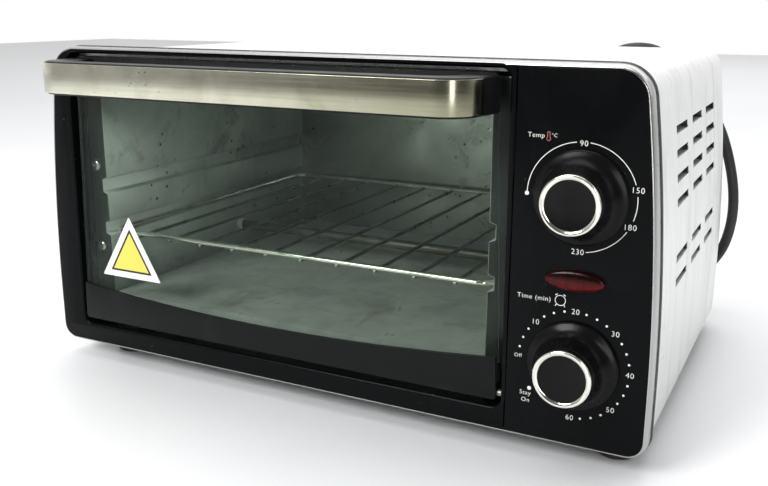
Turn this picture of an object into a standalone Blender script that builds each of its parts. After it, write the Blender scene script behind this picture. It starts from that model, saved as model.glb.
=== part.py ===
"""Bench reflow oven: a small convection box with a drop-down glass door, two knobs and a mains lead.

The frame has +X to the right, +Y to the back and +Z up. Its origin is on the table, under the
middle of the oven. The sub-parts are placed from a datum on the front face's lower edge.
"""

import math

import bmesh
import bpy
from mathutils import Vector

NAME = "bench_reflow_oven"

# Driving dimensions, in metres. Heights and depths are from the datum unless they say otherwise.
HALF_WIDTH = 0.1810
FACE_HEIGHT = 0.1785
BOW_START = 0.0300
BOW_RADIUS = 0.995
TOP_CORNER = 0.0140
BOTTOM_CORNER = 0.0080
DEPTH = 0.2465
FOOT_HEIGHT = 0.0120
HANDLE_REACH = 0.0323
SPACER_REACH = 0.0160
SHEET = 0.0008
GAP = 0.0003
CLEAR = 0.0004

FACE_THICK = 0.0012
RIM_OUT = 0.0026
RIM_DEPTH = 0.0100
WEB_FRONT = 0.0130
WEB_BACK = 0.0140
SHELL_INSET = 0.0012
SHELL_FRONT = 0.0120
REAR_FACE = DEPTH - 0.0005
PANEL_SPLIT = 0.1133

OPENING_CORNERS = ((-0.1640, 0.0110), (0.1110, 0.0110), (0.1100, 0.1770), (-0.1615, 0.1770))
OPENING_RADIUS = 0.0050
RETURN_DEPTH = 0.0086
WEB_TOP = 0.1725

CAVITY_X = -0.0270
CAVITY_HALF = 0.1240
CAVITY_FLOOR = 0.0288
CAVITY_TOP = 0.1720
CAVITY_FRONT = 0.0144
CAVITY_BACK = 0.2390
GROOVE_DEPTH = 0.0034
GROOVES = ((0.0660, 0.0740), (0.0920, 0.1010))
FLANGE = 0.0160
FLANGE_SCREW_X = CAVITY_X - 0.1310
FLANGE_SCREWS = {"lower": 0.0580, "upper": 0.1090}

DOOR_AXIS = Vector((CAVITY_X, 0.0040, 0.0175))
DOOR_BOTTOM = 0.0145
GLASS_BOTTOM = 0.0220
GLASS_TOP = 0.1750
GLASS_FRONT = 0.0020
GLASS_BACK = 0.0060
PANE_HALF_BOTTOM = 0.1354
PANE_HALF_TOP = 0.1296
PIN_RADIUS = 0.0020
HANDLE_SCREW_X = (-0.1505, 0.0965)
HANDLE_HEIGHT = 0.1652

THERMOSTAT = Vector((0.1453, 0.0, 0.1210))
TIMER = Vector((0.1460, 0.0, 0.0404))
LAMP = Vector((0.1449, 0.0, 0.0822))
SHAFT_RADIUS = 0.0030

RACK_HEIGHT = 0.0682
RACK_FRONT = 0.0185
RACK_BACK = 0.2350
RACK_WIRES = 10
RACK_PITCH = 0.0233
HEATERS = {"upper_heater": (0.1050, 0.1570), "lower_heater": (0.1500, 0.0440)}
HEATER_RADIUS = 0.0034

FEET = {"left": -0.1490, "right": 0.1640}
FOOT_ROWS = {"front": 0.0270, "rear": 0.2280}

SLOT_LENGTH = 0.0345
SLOT_HEIGHT = 0.0042
SLOT_CENTRES = (0.0880, 0.1380, 0.1875)
SLOT_ROWS = (0.0658, 0.0786, 0.1078, 0.1202, 0.1327, 0.1447)

SPACER_HALF = 0.0265
SPACER_ARCH = 0.1455
SPACER_FOOT = 0.1390
LENS_HALF = 0.01425

CORD_RADIUS = 0.0035
COIL_CENTRE = Vector((0.0600, 0.3180, -0.0120))
COIL_RADIUS = 0.0385
COIL_HEIGHT = 0.0218
GLAND = Vector((0.0850, REAR_FACE, 0.0330))
GLAND_LENGTH = 0.0250
PLUG = Vector((-0.0330, 0.2760, 0.0065))
CORD_ROUTE = (
    (0.0850, 0.2718, 0.0330),
    (0.0850, 0.2830, 0.0336),
    (0.0850, 0.2950, 0.0385),
    (0.0850, 0.3010, 0.0530),
    (0.0850, 0.3000, 0.0760),
    (0.0853, 0.2920, 0.1010),
    (0.0848, 0.2790, 0.1210),
    (0.0844, 0.2660, 0.1360),
    (0.0842, 0.2575, 0.1480),
    (0.0866, 0.2550, 0.1590),
    (0.0945, 0.2547, 0.1697),
    (0.1045, 0.2547, 0.1750),
    (0.1150, 0.2547, 0.1765),
    (0.1255, 0.2547, 0.1750),
    (0.1352, 0.2547, 0.1697),
    (0.1436, 0.2555, 0.1595),
    (0.1510, 0.2592, 0.1510),
    (0.1590, 0.2640, 0.1410),
    (0.1700, 0.2685, 0.1240),
    (0.1780, 0.2700, 0.1030),
    (0.1835, 0.2700, 0.0790),
    (0.1840, 0.2710, 0.0560),
    (0.1785, 0.2740, 0.0340),
    (0.1650, 0.2790, 0.0150),
    (0.1460, 0.2840, 0.0010),
    (0.1250, 0.2860, -0.0065),
    (0.1060, 0.2840, -0.0082),
    (0.0920, 0.2798, -0.0082),
    (0.0790, 0.2760, -0.0081),
)
LEAD_ROUTE = (
    (0.0340, 0.2795, 0.0063),
    (0.0230, 0.2792, 0.0065),
    (0.0120, 0.2775, 0.0065),
    (0.0018, 0.2760, 0.0065),
)

Y_DATUM = (HANDLE_REACH - DEPTH - SPACER_REACH) / 2


def cleared_scene():
    for item in list(bpy.data.objects):
        bpy.data.objects.remove(item, do_unlink=True)
    parts = bpy.data.collections.new(NAME)
    cutters = bpy.data.collections.new("cutters")
    for group in (parts, cutters):
        bpy.context.scene.collection.children.link(group)
    return parts, cutters


PARTS, CUTTERS = cleared_scene()


def empty(name, location, parent=None):
    item = bpy.data.objects.new(name, None)
    item.empty_display_size = 0.02
    item.location = location
    item.parent = parent
    PARTS.objects.link(item)
    return item


DATUM = empty("face_datum", (0.0, Y_DATUM, FOOT_HEIGHT))
RACK_SLIDE = empty("rack_slide_axis", (CAVITY_X, RACK_FRONT, RACK_HEIGHT), DATUM)
DOOR_HINGE = empty("door_hinge_axis", DOOR_AXIS, DATUM)
TEMPERATURE_TURN = empty("temperature_knob_axis", THERMOSTAT, DATUM)
TIMER_TURN = empty("timer_knob_axis", TIMER, DATUM)


def material(name, colour, roughness=0.5, metallic=0.0, transmission=0.0):
    made = bpy.data.materials.new(name)
    made.use_nodes = True
    shader = made.node_tree.nodes["Principled BSDF"]
    shader.inputs["Base Color"].default_value = (*colour, 1.0)
    shader.inputs["Roughness"].default_value = roughness
    shader.inputs["Metallic"].default_value = metallic
    shader.inputs["Transmission Weight"].default_value = transmission
    made.diffuse_color = (*colour, 1.0)
    return made


BLACK_ENAMEL = dict(colour=(0.010, 0.011, 0.012), roughness=0.28)
STEEL = dict(colour=(0.62, 0.62, 0.60), roughness=0.32, metallic=1.0)
SHELL_PAINT = dict(colour=(0.72, 0.73, 0.74), roughness=0.38, metallic=0.6)
GALVANISED = dict(colour=(0.50, 0.52, 0.50), roughness=0.45, metallic=0.9)
BLACK_PLASTIC = dict(colour=(0.012, 0.012, 0.012), roughness=0.35)
RUBBER = dict(colour=(0.015, 0.015, 0.015), roughness=0.8)
CHROME = dict(colour=(0.85, 0.85, 0.84), roughness=0.10, metallic=1.0)
GLASS = dict(colour=(0.30, 0.36, 0.31), roughness=0.04, transmission=0.9)
CERAMIC = dict(colour=(0.80, 0.78, 0.72), roughness=0.6)
RED_LENS = dict(colour=(0.35, 0.01, 0.01), roughness=0.15, transmission=0.3)


def finish(item, look, parent=DATUM):
    """Material, collection and parent; the shape keeps its coordinates from the datum."""
    item.data.materials.clear()
    item.data.materials.append(material(item.name + "_material", **look))
    if item.name not in PARTS.objects:
        PARTS.objects.link(item)
    attach(item, parent)
    return item


def attach(item, parent=DATUM):
    item.parent = parent
    if parent is not DATUM:
        item.matrix_parent_inverse.translation = -Vector(parent.location)


def as_tool(item):
    CUTTERS.objects.link(item)
    if item.name in PARTS.objects:
        PARTS.objects.unlink(item)
    item.hide_render = True
    item.display_type = "WIRE"
    attach(item)
    return item


def combine(item, tool, operation="DIFFERENCE"):
    boolean = item.modifiers.new(operation.lower(), "BOOLEAN")
    boolean.operation = operation
    boolean.solver = "EXACT"
    boolean.object = tool
    return item


def mesh_object(name, shape):
    data = bpy.data.meshes.new(name)
    shape.to_mesh(data)
    shape.free()
    return bpy.data.objects.new(name, data)


def boxes(name, spans):
    """One mesh of separate boxes, each given as ((x, x), (y, y), (z, z))."""
    shape = bmesh.new()
    for span in spans:
        corners = bmesh.ops.create_cube(shape, size=1.0)["verts"]
        for corner in corners:
            for axis in range(3):
                low, high = span[axis]
                corner.co[axis] = (low + high) / 2 + corner.co[axis] * (high - low)
    return mesh_object(name, shape)


def box(name, x, y, z, bevel=0.0):
    item = boxes(name, [(x, y, z)])
    if bevel:
        edge = item.modifiers.new("edges", "BEVEL")
        edge.width = bevel
        edge.segments = 2
    return item


def rounded(corners, radius, steps=5):
    """A closed outline with an arc at each corner."""
    points = []
    count = len(corners)
    for i, corner in enumerate(corners):
        here = Vector(corner)
        back = (Vector(corners[i - 1]) - here).normalized()
        ahead = (Vector(corners[(i + 1) % count]) - here).normalized()
        half = back.angle(ahead) / 2
        reach = radius / math.tan(half)
        centre = here + (back + ahead).normalized() * radius / math.sin(half)
        first = here + back * reach - centre
        last = here + ahead * reach - centre
        start = math.degrees(math.atan2(first.y, first.x))
        sweep = 180 - math.degrees(2 * half)
        sweep = math.copysign(sweep, first.cross(last))
        points += arc(centre, radius, start, start + sweep, steps)
    return points


def arc(centre, radius, start, end, steps):
    """Points of an arc, with its angles in degrees from +X."""
    angles = [math.radians(start + (end - start) * k / steps) for k in range(steps + 1)]
    return [(centre[0] + radius * math.cos(a), centre[1] + radius * math.sin(a)) for a in angles]


def bowed_side(inset, bottom, steps=9):
    """The right side of the oven's outline, from its lower corner to the middle of the top."""
    bow = BOW_RADIUS - inset
    bow_x = HALF_WIDTH - BOW_RADIUS
    top = FACE_HEIGHT - inset
    radius = TOP_CORNER - inset
    rise = top - radius - BOW_START
    corner_x = bow_x + math.sqrt((bow - radius) ** 2 - rise ** 2)
    lean = math.degrees(math.asin(rise / (bow - radius)))
    points = [(HALF_WIDTH - inset, bottom)]
    points += arc((bow_x, BOW_START), bow, 0, lean, steps)
    points += arc((corner_x, top - radius), radius, lean, 90, 7)[1:]
    return points


def face_outline(inset, lowest=0.0):
    """The whole outline of the front, closed, with round lower corners."""
    bottom = lowest + inset
    radius = BOTTOM_CORNER - inset
    corner = (HALF_WIDTH - inset - radius, bottom + radius)
    right = arc(corner, radius, -90, 0, 5)[:-1] + bowed_side(inset, corner[1])
    left = [(-x, z) for x, z in reversed(right)]
    return right + left


def outline_curve(name, loops, half_thickness):
    """A flat outline, filled, with any inner loops as holes."""
    data = bpy.data.curves.new(name, "CURVE")
    data.dimensions = "2D"
    data.fill_mode = "BOTH"
    data.extrude = half_thickness
    for loop in loops:
        spline = data.splines.new("POLY")
        spline.points.add(len(loop) - 1)
        for point, (x, y) in zip(spline.points, loop):
            point.co = (x, y, 0.0, 1.0)
        spline.use_cyclic_u = True
    return bpy.data.objects.new(name, data)


def as_mesh(item):
    """The curve as a mesh with its caps welded, in the curve's own place."""
    bpy.context.scene.collection.objects.link(item)
    depsgraph = bpy.context.evaluated_depsgraph_get()
    data = bpy.data.meshes.new_from_object(item.evaluated_get(depsgraph))
    shape = bmesh.new()
    shape.from_mesh(data)
    bmesh.ops.remove_doubles(shape, verts=shape.verts, dist=0.000001)
    bmesh.ops.transform(shape, matrix=item.matrix_world, verts=shape.verts)
    bmesh.ops.recalc_face_normals(shape, faces=shape.faces)
    shape.to_mesh(data)
    shape.free()
    name = item.name
    bpy.data.objects.remove(item)
    data.name = name
    return bpy.data.objects.new(name, data)


def upright_plate(name, loops, front, back):
    """A plate that stands across the oven, its outline given as (x, z)."""
    item = outline_curve(name, loops, (back - front) / 2)
    item.rotation_euler = (math.pi / 2, 0.0, 0.0)
    item.location = (0.0, (front + back) / 2, 0.0)
    bpy.context.view_layer.update()
    return as_mesh(item)


def flat_plate(name, loops, bottom, top):
    """A plate that lies level, its outline given as (x, y)."""
    item = outline_curve(name, loops, (top - bottom) / 2)
    item.location = (0.0, 0.0, (bottom + top) / 2)
    return as_mesh(item)


def folded_sheet(name, line, front, back, thickness, offset):
    """A sheet folded along a line of (x, z) points that runs from front to back."""
    shape = bmesh.new()
    verts = [shape.verts.new((x, front, z)) for x, z in line]
    edges = [shape.edges.new(pair) for pair in zip(verts, verts[1:])]
    made = bmesh.ops.extrude_edge_only(shape, edges=edges)["geom"]
    moved = [part for part in made if isinstance(part, bmesh.types.BMVert)]
    bmesh.ops.translate(shape, vec=(0.0, back - front, 0.0), verts=moved)
    item = mesh_object(name, shape)
    sheet = item.modifiers.new("sheet", "SOLIDIFY")
    sheet.thickness = thickness
    sheet.offset = offset
    sheet.use_even_offset = True
    return item


def turned(name, profile, centre, turn=(0.0, 0.0, 0.0), steps=32):
    """A solid turned about its own Z. The profile runs from the top down, as (radius, height)."""
    data = bpy.data.meshes.new(name)
    data.from_pydata([(r, 0.0, z) for r, z in profile], [(i, i + 1) for i in range(len(profile) - 1)], [])
    item = bpy.data.objects.new(name, data)
    screw = item.modifiers.new("turn", "SCREW")
    screw.axis = "Z"
    screw.angle = math.tau
    screw.steps = steps
    screw.render_steps = steps
    screw.use_merge_vertices = True
    screw.merge_threshold = 0.00001
    item.rotation_euler = turn
    item.location = centre
    return item


TOWARDS_FRONT = (math.pi / 2, 0.0, 0.0)
TOWARDS_BACK = (-math.pi / 2, 0.0, 0.0)
TOWARDS_RIGHT = (0.0, math.pi / 2, 0.0)


def rod(name, centre, turn, radius, length, steps=20, bevel=0.0):
    """A round bar from its centre along its own Z."""
    b = bevel
    profile = [(0.0, length), (radius - b, length)]
    if b:
        profile.append((radius, length - b))
    profile += [(radius, 0.0), (0.0, 0.0)]
    return turned(name, profile, centre, turn, steps)


def smooth_line(points, spacing):
    """Evenly spaced points on a smooth curve through the given ones."""
    knots = [Vector(p) for p in points]
    knots = [2 * knots[0] - knots[1]] + knots + [2 * knots[-1] - knots[-2]]
    fine = []
    for a, b, c, d in zip(knots, knots[1:], knots[2:], knots[3:]):
        for k in range(12):
            t = k / 12
            square = (2 * a - 5 * b + 4 * c - d) * t ** 2
            cube = (3 * b - a - 3 * c + d) * t ** 3
            fine.append((2 * b + (c - a) * t + square + cube) / 2)
    fine.append(knots[-2])
    length = sum((q - p).length for p, q in zip(fine, fine[1:]))
    count = round(length / spacing)
    even = [fine[0]]
    walked = 0.0
    for p, q in zip(fine, fine[1:]):
        step = (q - p).length
        while len(even) < count and walked + step >= len(even) * length / count:
            part = (len(even) * length / count - walked) / step
            even.append(p.lerp(q, part))
        walked += step
    return even + [fine[-1]]


def wire(name, points, radius, closed=False, sides=2):
    """A round wire along straight stretches between the points."""
    data = bpy.data.curves.new(name, "CURVE")
    data.dimensions = "3D"
    data.bevel_depth = radius
    data.bevel_resolution = sides
    data.use_fill_caps = True
    spline = data.splines.new("POLY")
    spline.points.add(len(points) - 1)
    for point, place in zip(spline.points, points):
        point.co = (*place, 1.0)
    spline.use_cyclic_u = closed
    return bpy.data.objects.new(name, data)


def hole(name, centre, turn, radius, length, steps=20):
    return as_tool(rod(name, centre, turn, radius, length, steps))


def front_panels():
    """The black face: the frame round the door, and the control panel beside it."""
    opening = rounded(OPENING_CORNERS, OPENING_RADIUS)
    door_frame = upright_plate("door_frame", [face_outline(0.0), opening], 0.0, FACE_THICK)
    lip_loops = [grown(opening, 0.0012), grown(opening, 0.0001)]
    lip = upright_plate("door_frame_return", lip_loops, FACE_THICK / 2, RETURN_DEPTH)
    combine(door_frame, as_tool(lip), "UNION")
    right = boxes("control_side", [((PANEL_SPLIT - GAP, 0.2), (-0.01, 0.02), (-0.01, 0.2))])
    combine(door_frame, as_tool(right))
    pivots = hole("pivot_holes", (-0.170, DOOR_AXIS.y, DOOR_AXIS.z), TOWARDS_RIGHT, PIN_RADIUS + CLEAR, 0.290)
    combine(door_frame, pivots)
    finish(door_frame, BLACK_ENAMEL)

    panel = upright_plate("control_panel", [face_outline(0.0)], 0.0, FACE_THICK)
    left = boxes("door_side", [((-0.2, PANEL_SPLIT + GAP), (-0.01, 0.02), (-0.01, 0.2))])
    combine(panel, as_tool(left))
    for name, centre in (("thermostat_hole", THERMOSTAT), ("timer_hole", TIMER)):
        combine(panel, hole(name, centre + Vector((0, 0.01, 0)), TOWARDS_FRONT, SHAFT_RADIUS + CLEAR, 0.02))
    window = outline_ellipse(LAMP, 0.0130, 0.0038)
    combine(panel, as_tool(upright_plate("lens_hole", [window], -0.005, 0.005)))
    finish(panel, BLACK_ENAMEL)


def outline_ellipse(centre, half_width, half_height, steps=28):
    angles = [math.tau * k / steps for k in range(steps)]
    return [(centre.x + half_width * math.cos(a), centre.z + half_height * math.sin(a)) for a in angles]


def grown(points, distance):
    """A closed outline moved outwards by a distance."""
    moved = []
    for i, point in enumerate(points):
        along = Vector(points[(i + 1) % len(points)]) - Vector(points[i - 1])
        out = Vector((along.y, -along.x)).normalized()
        moved.append(tuple(Vector(point) + out * distance))
    return moved


def front_frame():
    """Bare steel rim, flared round the face and stepped inside the shell, and the plate inside it."""
    section = (
        (0.0009, 0.0006),
        (RIM_OUT, RIM_DEPTH),
        (-0.0024, RIM_DEPTH),
        (-0.0024, WEB_BACK),
        (-0.0034, WEB_BACK),
        (-0.0034, RIM_DEPTH - 0.0010),
        (RIM_OUT - 0.0010, RIM_DEPTH - 0.0010),
        (0.0003, 0.0006),
    )
    outline = face_outline(0.0)
    shape = bmesh.new()
    rings = []
    for out, depth in section:
        ring = grown(outline, out)
        rings.append([shape.verts.new((x, depth, z)) for x, z in ring])
    for ring, following in zip(rings, rings[1:] + rings[:1]):
        for i in range(len(ring)):
            shape.faces.new((ring[i - 1], ring[i], following[i], following[i - 1]))
    bmesh.ops.recalc_face_normals(shape, faces=shape.faces)
    finish(mesh_object("front_rim", shape), STEEL)

    mouth = [(x, min(z, WEB_TOP)) for x, z in OPENING_CORNERS]
    opening = rounded(mouth, OPENING_RADIUS)
    frame = upright_plate("front_frame", [face_outline(0.0038), opening], WEB_FRONT, WEB_BACK)
    controls = boxes("control_window", [((0.118, 0.1665), (0.01, 0.02), (0.014, 0.158))])
    combine(frame, as_tool(controls))
    finish(frame, STEEL)


def casing():
    """The wrapped outer shell with its vent slots, the rear panel and the base."""
    right = bowed_side(SHELL_INSET + SHEET / 2, 0.0004)
    line = right + [(-x, z) for x, z in reversed(right)]
    shell = folded_sheet("outer_shell", line, SHELL_FRONT, DEPTH, SHEET, 0.0)
    slots = []
    for side in (-1, 1):
        for row in SLOT_ROWS:
            for centre in SLOT_CENTRES:
                x = sorted((side * 0.160, side * 0.190))
                y = (centre - SLOT_LENGTH / 2, centre + SLOT_LENGTH / 2)
                slots.append((x, y, (row - SLOT_HEIGHT / 2, row + SLOT_HEIGHT / 2)))
    combine(shell, as_tool(boxes("side_slots", slots)))
    finish(shell, SHELL_PAINT)

    inset = SHELL_INSET + SHEET + CLEAR
    rear = upright_plate("rear_panel", [face_outline(inset)], REAR_FACE - SHEET, REAR_FACE)
    vents = []
    for row in range(7):
        for column in range(4):
            x = 0.020 + 0.030 * column
            z = 0.070 + 0.010 * row
            vents.append(((x - 0.160, x - 0.138), (0.240, 0.250), (z, z + 0.004)))
    combine(rear, as_tool(boxes("rear_slots", vents)))
    combine(rear, hole("gland_hole", GLAND + Vector((0, 0.01, 0)), TOWARDS_FRONT, 0.0066, 0.02))
    for x in (-0.1640, 0.1640):
        for z in (0.0160, 0.1450):
            combine(rear, hole("rear_screw_hole", (x, DEPTH + 0.01, z), TOWARDS_FRONT, 0.0017, 0.02, 12))
    finish(rear, GALVANISED)

    half = HALF_WIDTH - inset - SHEET / 2
    line = [(-half, 0.009), (-half, 0.001), (half, 0.001), (half, 0.009)]
    base = folded_sheet("base_plate", line, 0.0146, REAR_FACE - SHEET - 0.0006, SHEET, 0.0)
    finish(base, GALVANISED)


def groove_line(side):
    """The cavity wall's section from bottom to top, with its two rack grooves."""
    face = CAVITY_X + side * (CAVITY_HALF + 0.0003)
    deep = face + side * GROOVE_DEPTH
    points = [(face, CAVITY_FLOOR - 0.0008)]
    for low, high in GROOVES:
        points += [(face, low - 0.001), (deep, low + 0.0005), (deep, high - 0.0005), (face, high + 0.001)]
    points.append((face, CAVITY_TOP))
    return points


def cavity():
    """The heated chamber: two grooved side walls, floor, ceiling and back."""
    for side, name in ((-1, "cavity_left_wall"), (1, "cavity_right_wall")):
        line = groove_line(side)
        wall = folded_sheet(name, line, CAVITY_FRONT + 0.0002, CAVITY_BACK, 0.0006, 0.0)
        edge = CAVITY_X + side * (CAVITY_HALF + FLANGE)
        flange_outline = line + [(edge, CAVITY_TOP), (edge, CAVITY_FLOOR - 0.0008)]
        flange = upright_plate(name + "_flange", [flange_outline], CAVITY_FRONT, CAVITY_FRONT + SHEET)
        combine(wall, as_tool(flange), "UNION")
        for y, z in HEATERS.values():
            start = CAVITY_X + side * CAVITY_HALF - 0.01
            combine(wall, hole(name + "_port", (start, y, z), TOWARDS_RIGHT, 0.0056, 0.02))
        if side < 0:
            for z in FLANGE_SCREWS.values():
                place = (FLANGE_SCREW_X, 0.030, z)
                combine(wall, hole("flange_screw_hole", place, TOWARDS_FRONT, 0.0017, 0.04, 12))
        finish(wall, GALVANISED)

    inner = (CAVITY_X - CAVITY_HALF + CLEAR, CAVITY_X + CAVITY_HALF - CLEAR)
    outer = (CAVITY_X - CAVITY_HALF - 0.006, CAVITY_X + CAVITY_HALF + 0.006)
    floor = box("cavity_floor", inner, (CAVITY_FRONT, CAVITY_BACK), (CAVITY_FLOOR - SHEET, CAVITY_FLOOR))
    lip = boxes("floor_lip", [(inner, (CAVITY_FRONT, CAVITY_FRONT + SHEET), (0.0120, CAVITY_FLOOR - 0.0002))])
    combine(floor, as_tool(lip), "UNION")
    finish(floor, GALVANISED)

    level = CAVITY_TOP + CLEAR
    ceiling = box("cavity_ceiling", outer, (CAVITY_FRONT, CAVITY_BACK), (level, level + SHEET))
    lip = boxes("ceiling_lip", [(outer, (CAVITY_FRONT, CAVITY_FRONT + SHEET), (level + 0.0002, 0.1756))])
    combine(ceiling, as_tool(lip), "UNION")
    finish(ceiling, GALVANISED)

    back = CAVITY_BACK + CLEAR
    finish(box("cavity_back_wall", outer, (back, back + SHEET), (0.0240, 0.1745)), GALVANISED)


def heaters():
    """Sheathed heating rods across the chamber, each in two ceramic bushes."""
    start = CAVITY_X - CAVITY_HALF - 0.016
    length = 2 * (CAVITY_HALF + 0.016)
    bush = [(0.0050, 0.0050), (0.0050, 0.0), (0.0085, 0.0), (0.0085, -0.0060)]
    bush += [(HEATER_RADIUS + CLEAR, -0.0060), (HEATER_RADIUS + CLEAR, 0.0050), (0.0050, 0.0050)]
    for name, (y, z) in HEATERS.items():
        finish(rod(name, (start, y, z), TOWARDS_RIGHT, HEATER_RADIUS, length), STEEL)
        for side, word in ((-1, "left"), (1, "right")):
            x = CAVITY_X + side * (CAVITY_HALF + 0.0012)
            turn = (0.0, -side * math.pi / 2, 0.0)
            finish(turned(f"{name}_{word}_bush", bush, (x, y, z), turn, 24), CERAMIC)


def controls():
    """Thermostat, timer with its bell, pilot lamp and lens behind the control panel."""
    bodies = (("thermostat_body", THERMOSTAT, 0.015, 0.020), ("timer_body", TIMER, 0.0195, 0.032))
    for name, centre, half, depth in bodies:
        x = (centre.x - half, centre.x + half)
        z = (centre.z - half, centre.z + half)
        body = box(name, x, (FACE_THICK + CLEAR, depth), z, 0.0015)
        bore = hole(name + "_bore", centre + Vector((0, 0.009, 0)), TOWARDS_FRONT, SHAFT_RADIUS + CLEAR, 0.02)
        finish(combine(body, bore), BLACK_PLASTIC)
    bell = [(0.0, 0.0090), (0.0120, 0.0082), (0.0180, 0.0050), (0.0200, 0.0), (0.0, 0.0)]
    finish(turned("timer_bell", bell, TIMER + Vector((0, 0.0324, 0)), TOWARDS_BACK, 28), STEEL)

    dome = [(0.0, 0.0030), (0.40, 0.0028), (0.75, 0.0021), (0.93, 0.0012), (1.0, 0.0), (0.0, 0.0)]
    profile = [(r * LENS_HALF, h * 0.8) for r, h in dome]
    lens = turned("indicator_lens", profile, LAMP + Vector((0, -CLEAR, 0)), TOWARDS_FRONT, 36)
    lens.scale = (1.0, 0.35, 1.0)
    finish(lens, RED_LENS)
    seat = LAMP + Vector((0, 0.0016, 0))
    finish(rod("indicator_lamp", seat, TOWARDS_BACK, 0.0032, 0.020, 16, 0.001), RED_LENS)
    finish(box("terminal_block", (0.118, 0.158), (0.212, 0.230), (0.0018, 0.0160), 0.001), CERAMIC)


def knob(prefix, centre, pivot):
    """A flared knob with a chrome ring round its face, on its shaft."""
    body = [
        (0.0, 0.0186),
        (0.0112, 0.0186),
        (0.0119, 0.0180),
        (0.0119, 0.0147),
        (0.0136, 0.0147),
        (0.0139, 0.0110),
        (0.0152, 0.0070),
        (0.0176, 0.0038),
        (0.0214, 0.0017),
        (0.0220, 0.0008),
        (SHAFT_RADIUS + GAP, 0.0008),
        (SHAFT_RADIUS + GAP, 0.0120),
        (0.0, 0.0120),
    ]
    finish(turned(prefix + "_knob", body, centre, TOWARDS_FRONT, 40), BLACK_PLASTIC, pivot)
    ring = [(0.0123, 0.0193), (0.0133, 0.0193), (0.0138, 0.0188), (0.0138, 0.0150)]
    ring += [(0.0122, 0.0150), (0.0122, 0.0190), (0.0123, 0.0193)]
    finish(turned(prefix + "_knob_ring", ring, centre, TOWARDS_FRONT, 40), CHROME, pivot)
    seat = centre + Vector((0, 0.0060, 0))
    finish(rod(prefix + "_shaft", seat, TOWARDS_FRONT, SHAFT_RADIUS, 0.0176, 16), STEEL, pivot)


def pane_half(height):
    """Half the door's width at a height; it narrows towards the top."""
    rise = (height - DOOR_BOTTOM) / (GLASS_TOP - DOOR_BOTTOM)
    return PANE_HALF_BOTTOM + (PANE_HALF_TOP - PANE_HALF_BOTTOM) * rise


def pane_outline(bottom, top, radius):
    corners = [(-pane_half(bottom), bottom), (pane_half(bottom), bottom)]
    corners += [(pane_half(top), top), (-pane_half(top), top)]
    return rounded([(CAVITY_X + x, z) for x, z in corners], radius, 4)


def door():
    """Glass pane, lower rail, hinge pins and the sticker."""
    pane = pane_outline(GLASS_BOTTOM, GLASS_TOP, 0.003)
    glass = upright_plate("door_glass", [pane], GLASS_FRONT, GLASS_BACK)
    for x in HANDLE_SCREW_X:
        combine(glass, hole("glass_hole", (x, 0.02, HANDLE_HEIGHT), TOWARDS_FRONT, 0.0024, 0.03, 14))
    finish(glass, GLASS, DOOR_HINGE)

    half = pane_half(DOOR_BOTTOM)
    smile = []
    for k in range(17):
        across = -1 + k / 8
        height = 0.0304 + 0.0071 * across ** 2
        smile.append((CAVITY_X - across * pane_half(height), height))
    cover = [(CAVITY_X - half, DOOR_BOTTOM), (CAVITY_X + half, DOOR_BOTTOM)] + smile
    rail = upright_plate("door_rail", [cover], 0.0004, GLASS_FRONT - GAP)
    foot = boxes("rail_foot", [((CAVITY_X - half, CAVITY_X + half), (0.0004, 0.0072), (DOOR_BOTTOM, 0.0214))])
    combine(rail, as_tool(foot), "UNION")
    for side, word in ((-1, "left"), (1, "right")):
        inner = CAVITY_X + side * (half - 0.0110)
        turn = (0.0, side * math.pi / 2, 0.0)
        place = (inner, DOOR_AXIS.y, DOOR_AXIS.z)
        combine(rail, hole("pin_bore", place, turn, PIN_RADIUS + GAP, 0.02))
        pin_start = (inner + side * GAP, DOOR_AXIS.y, DOOR_AXIS.z)
        finish(rod(f"hinge_pin_{word}", pin_start, turn, PIN_RADIUS, 0.0157, 16), STEEL, DOOR_HINGE)
    finish(rail, BLACK_ENAMEL, DOOR_HINGE)

    triangle = rounded([(-0.1473, 0.0446), (-0.1019, 0.0446), (-0.1238, 0.0831)], 0.0004, 2)
    sticker = upright_plate("caution_sticker", [triangle], GLASS_FRONT - 0.00055, GLASS_FRONT - GAP)
    finish(sticker, dict(colour=(0.95, 0.75, 0.05), roughness=0.5), DOOR_HINGE)


def handle_line(inset):
    """The handle's outer side in plan, from the left post round the front to the right post."""
    front = -HANDLE_REACH + inset
    bend = 0.0180 - inset
    left_centre = (-0.1390, front + bend)
    right_centre = (0.0850, front + bend)
    left_end = (-0.1600 + inset, GLASS_FRONT - GAP)
    right_end = (0.1060 - inset, GLASS_FRONT - GAP)
    left_bend = arc(left_centre, bend, 180, 270, 7)
    right_bend = arc(right_centre, bend, 270, 360, 7)
    return [left_end] + left_bend + right_bend + [right_end]


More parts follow.
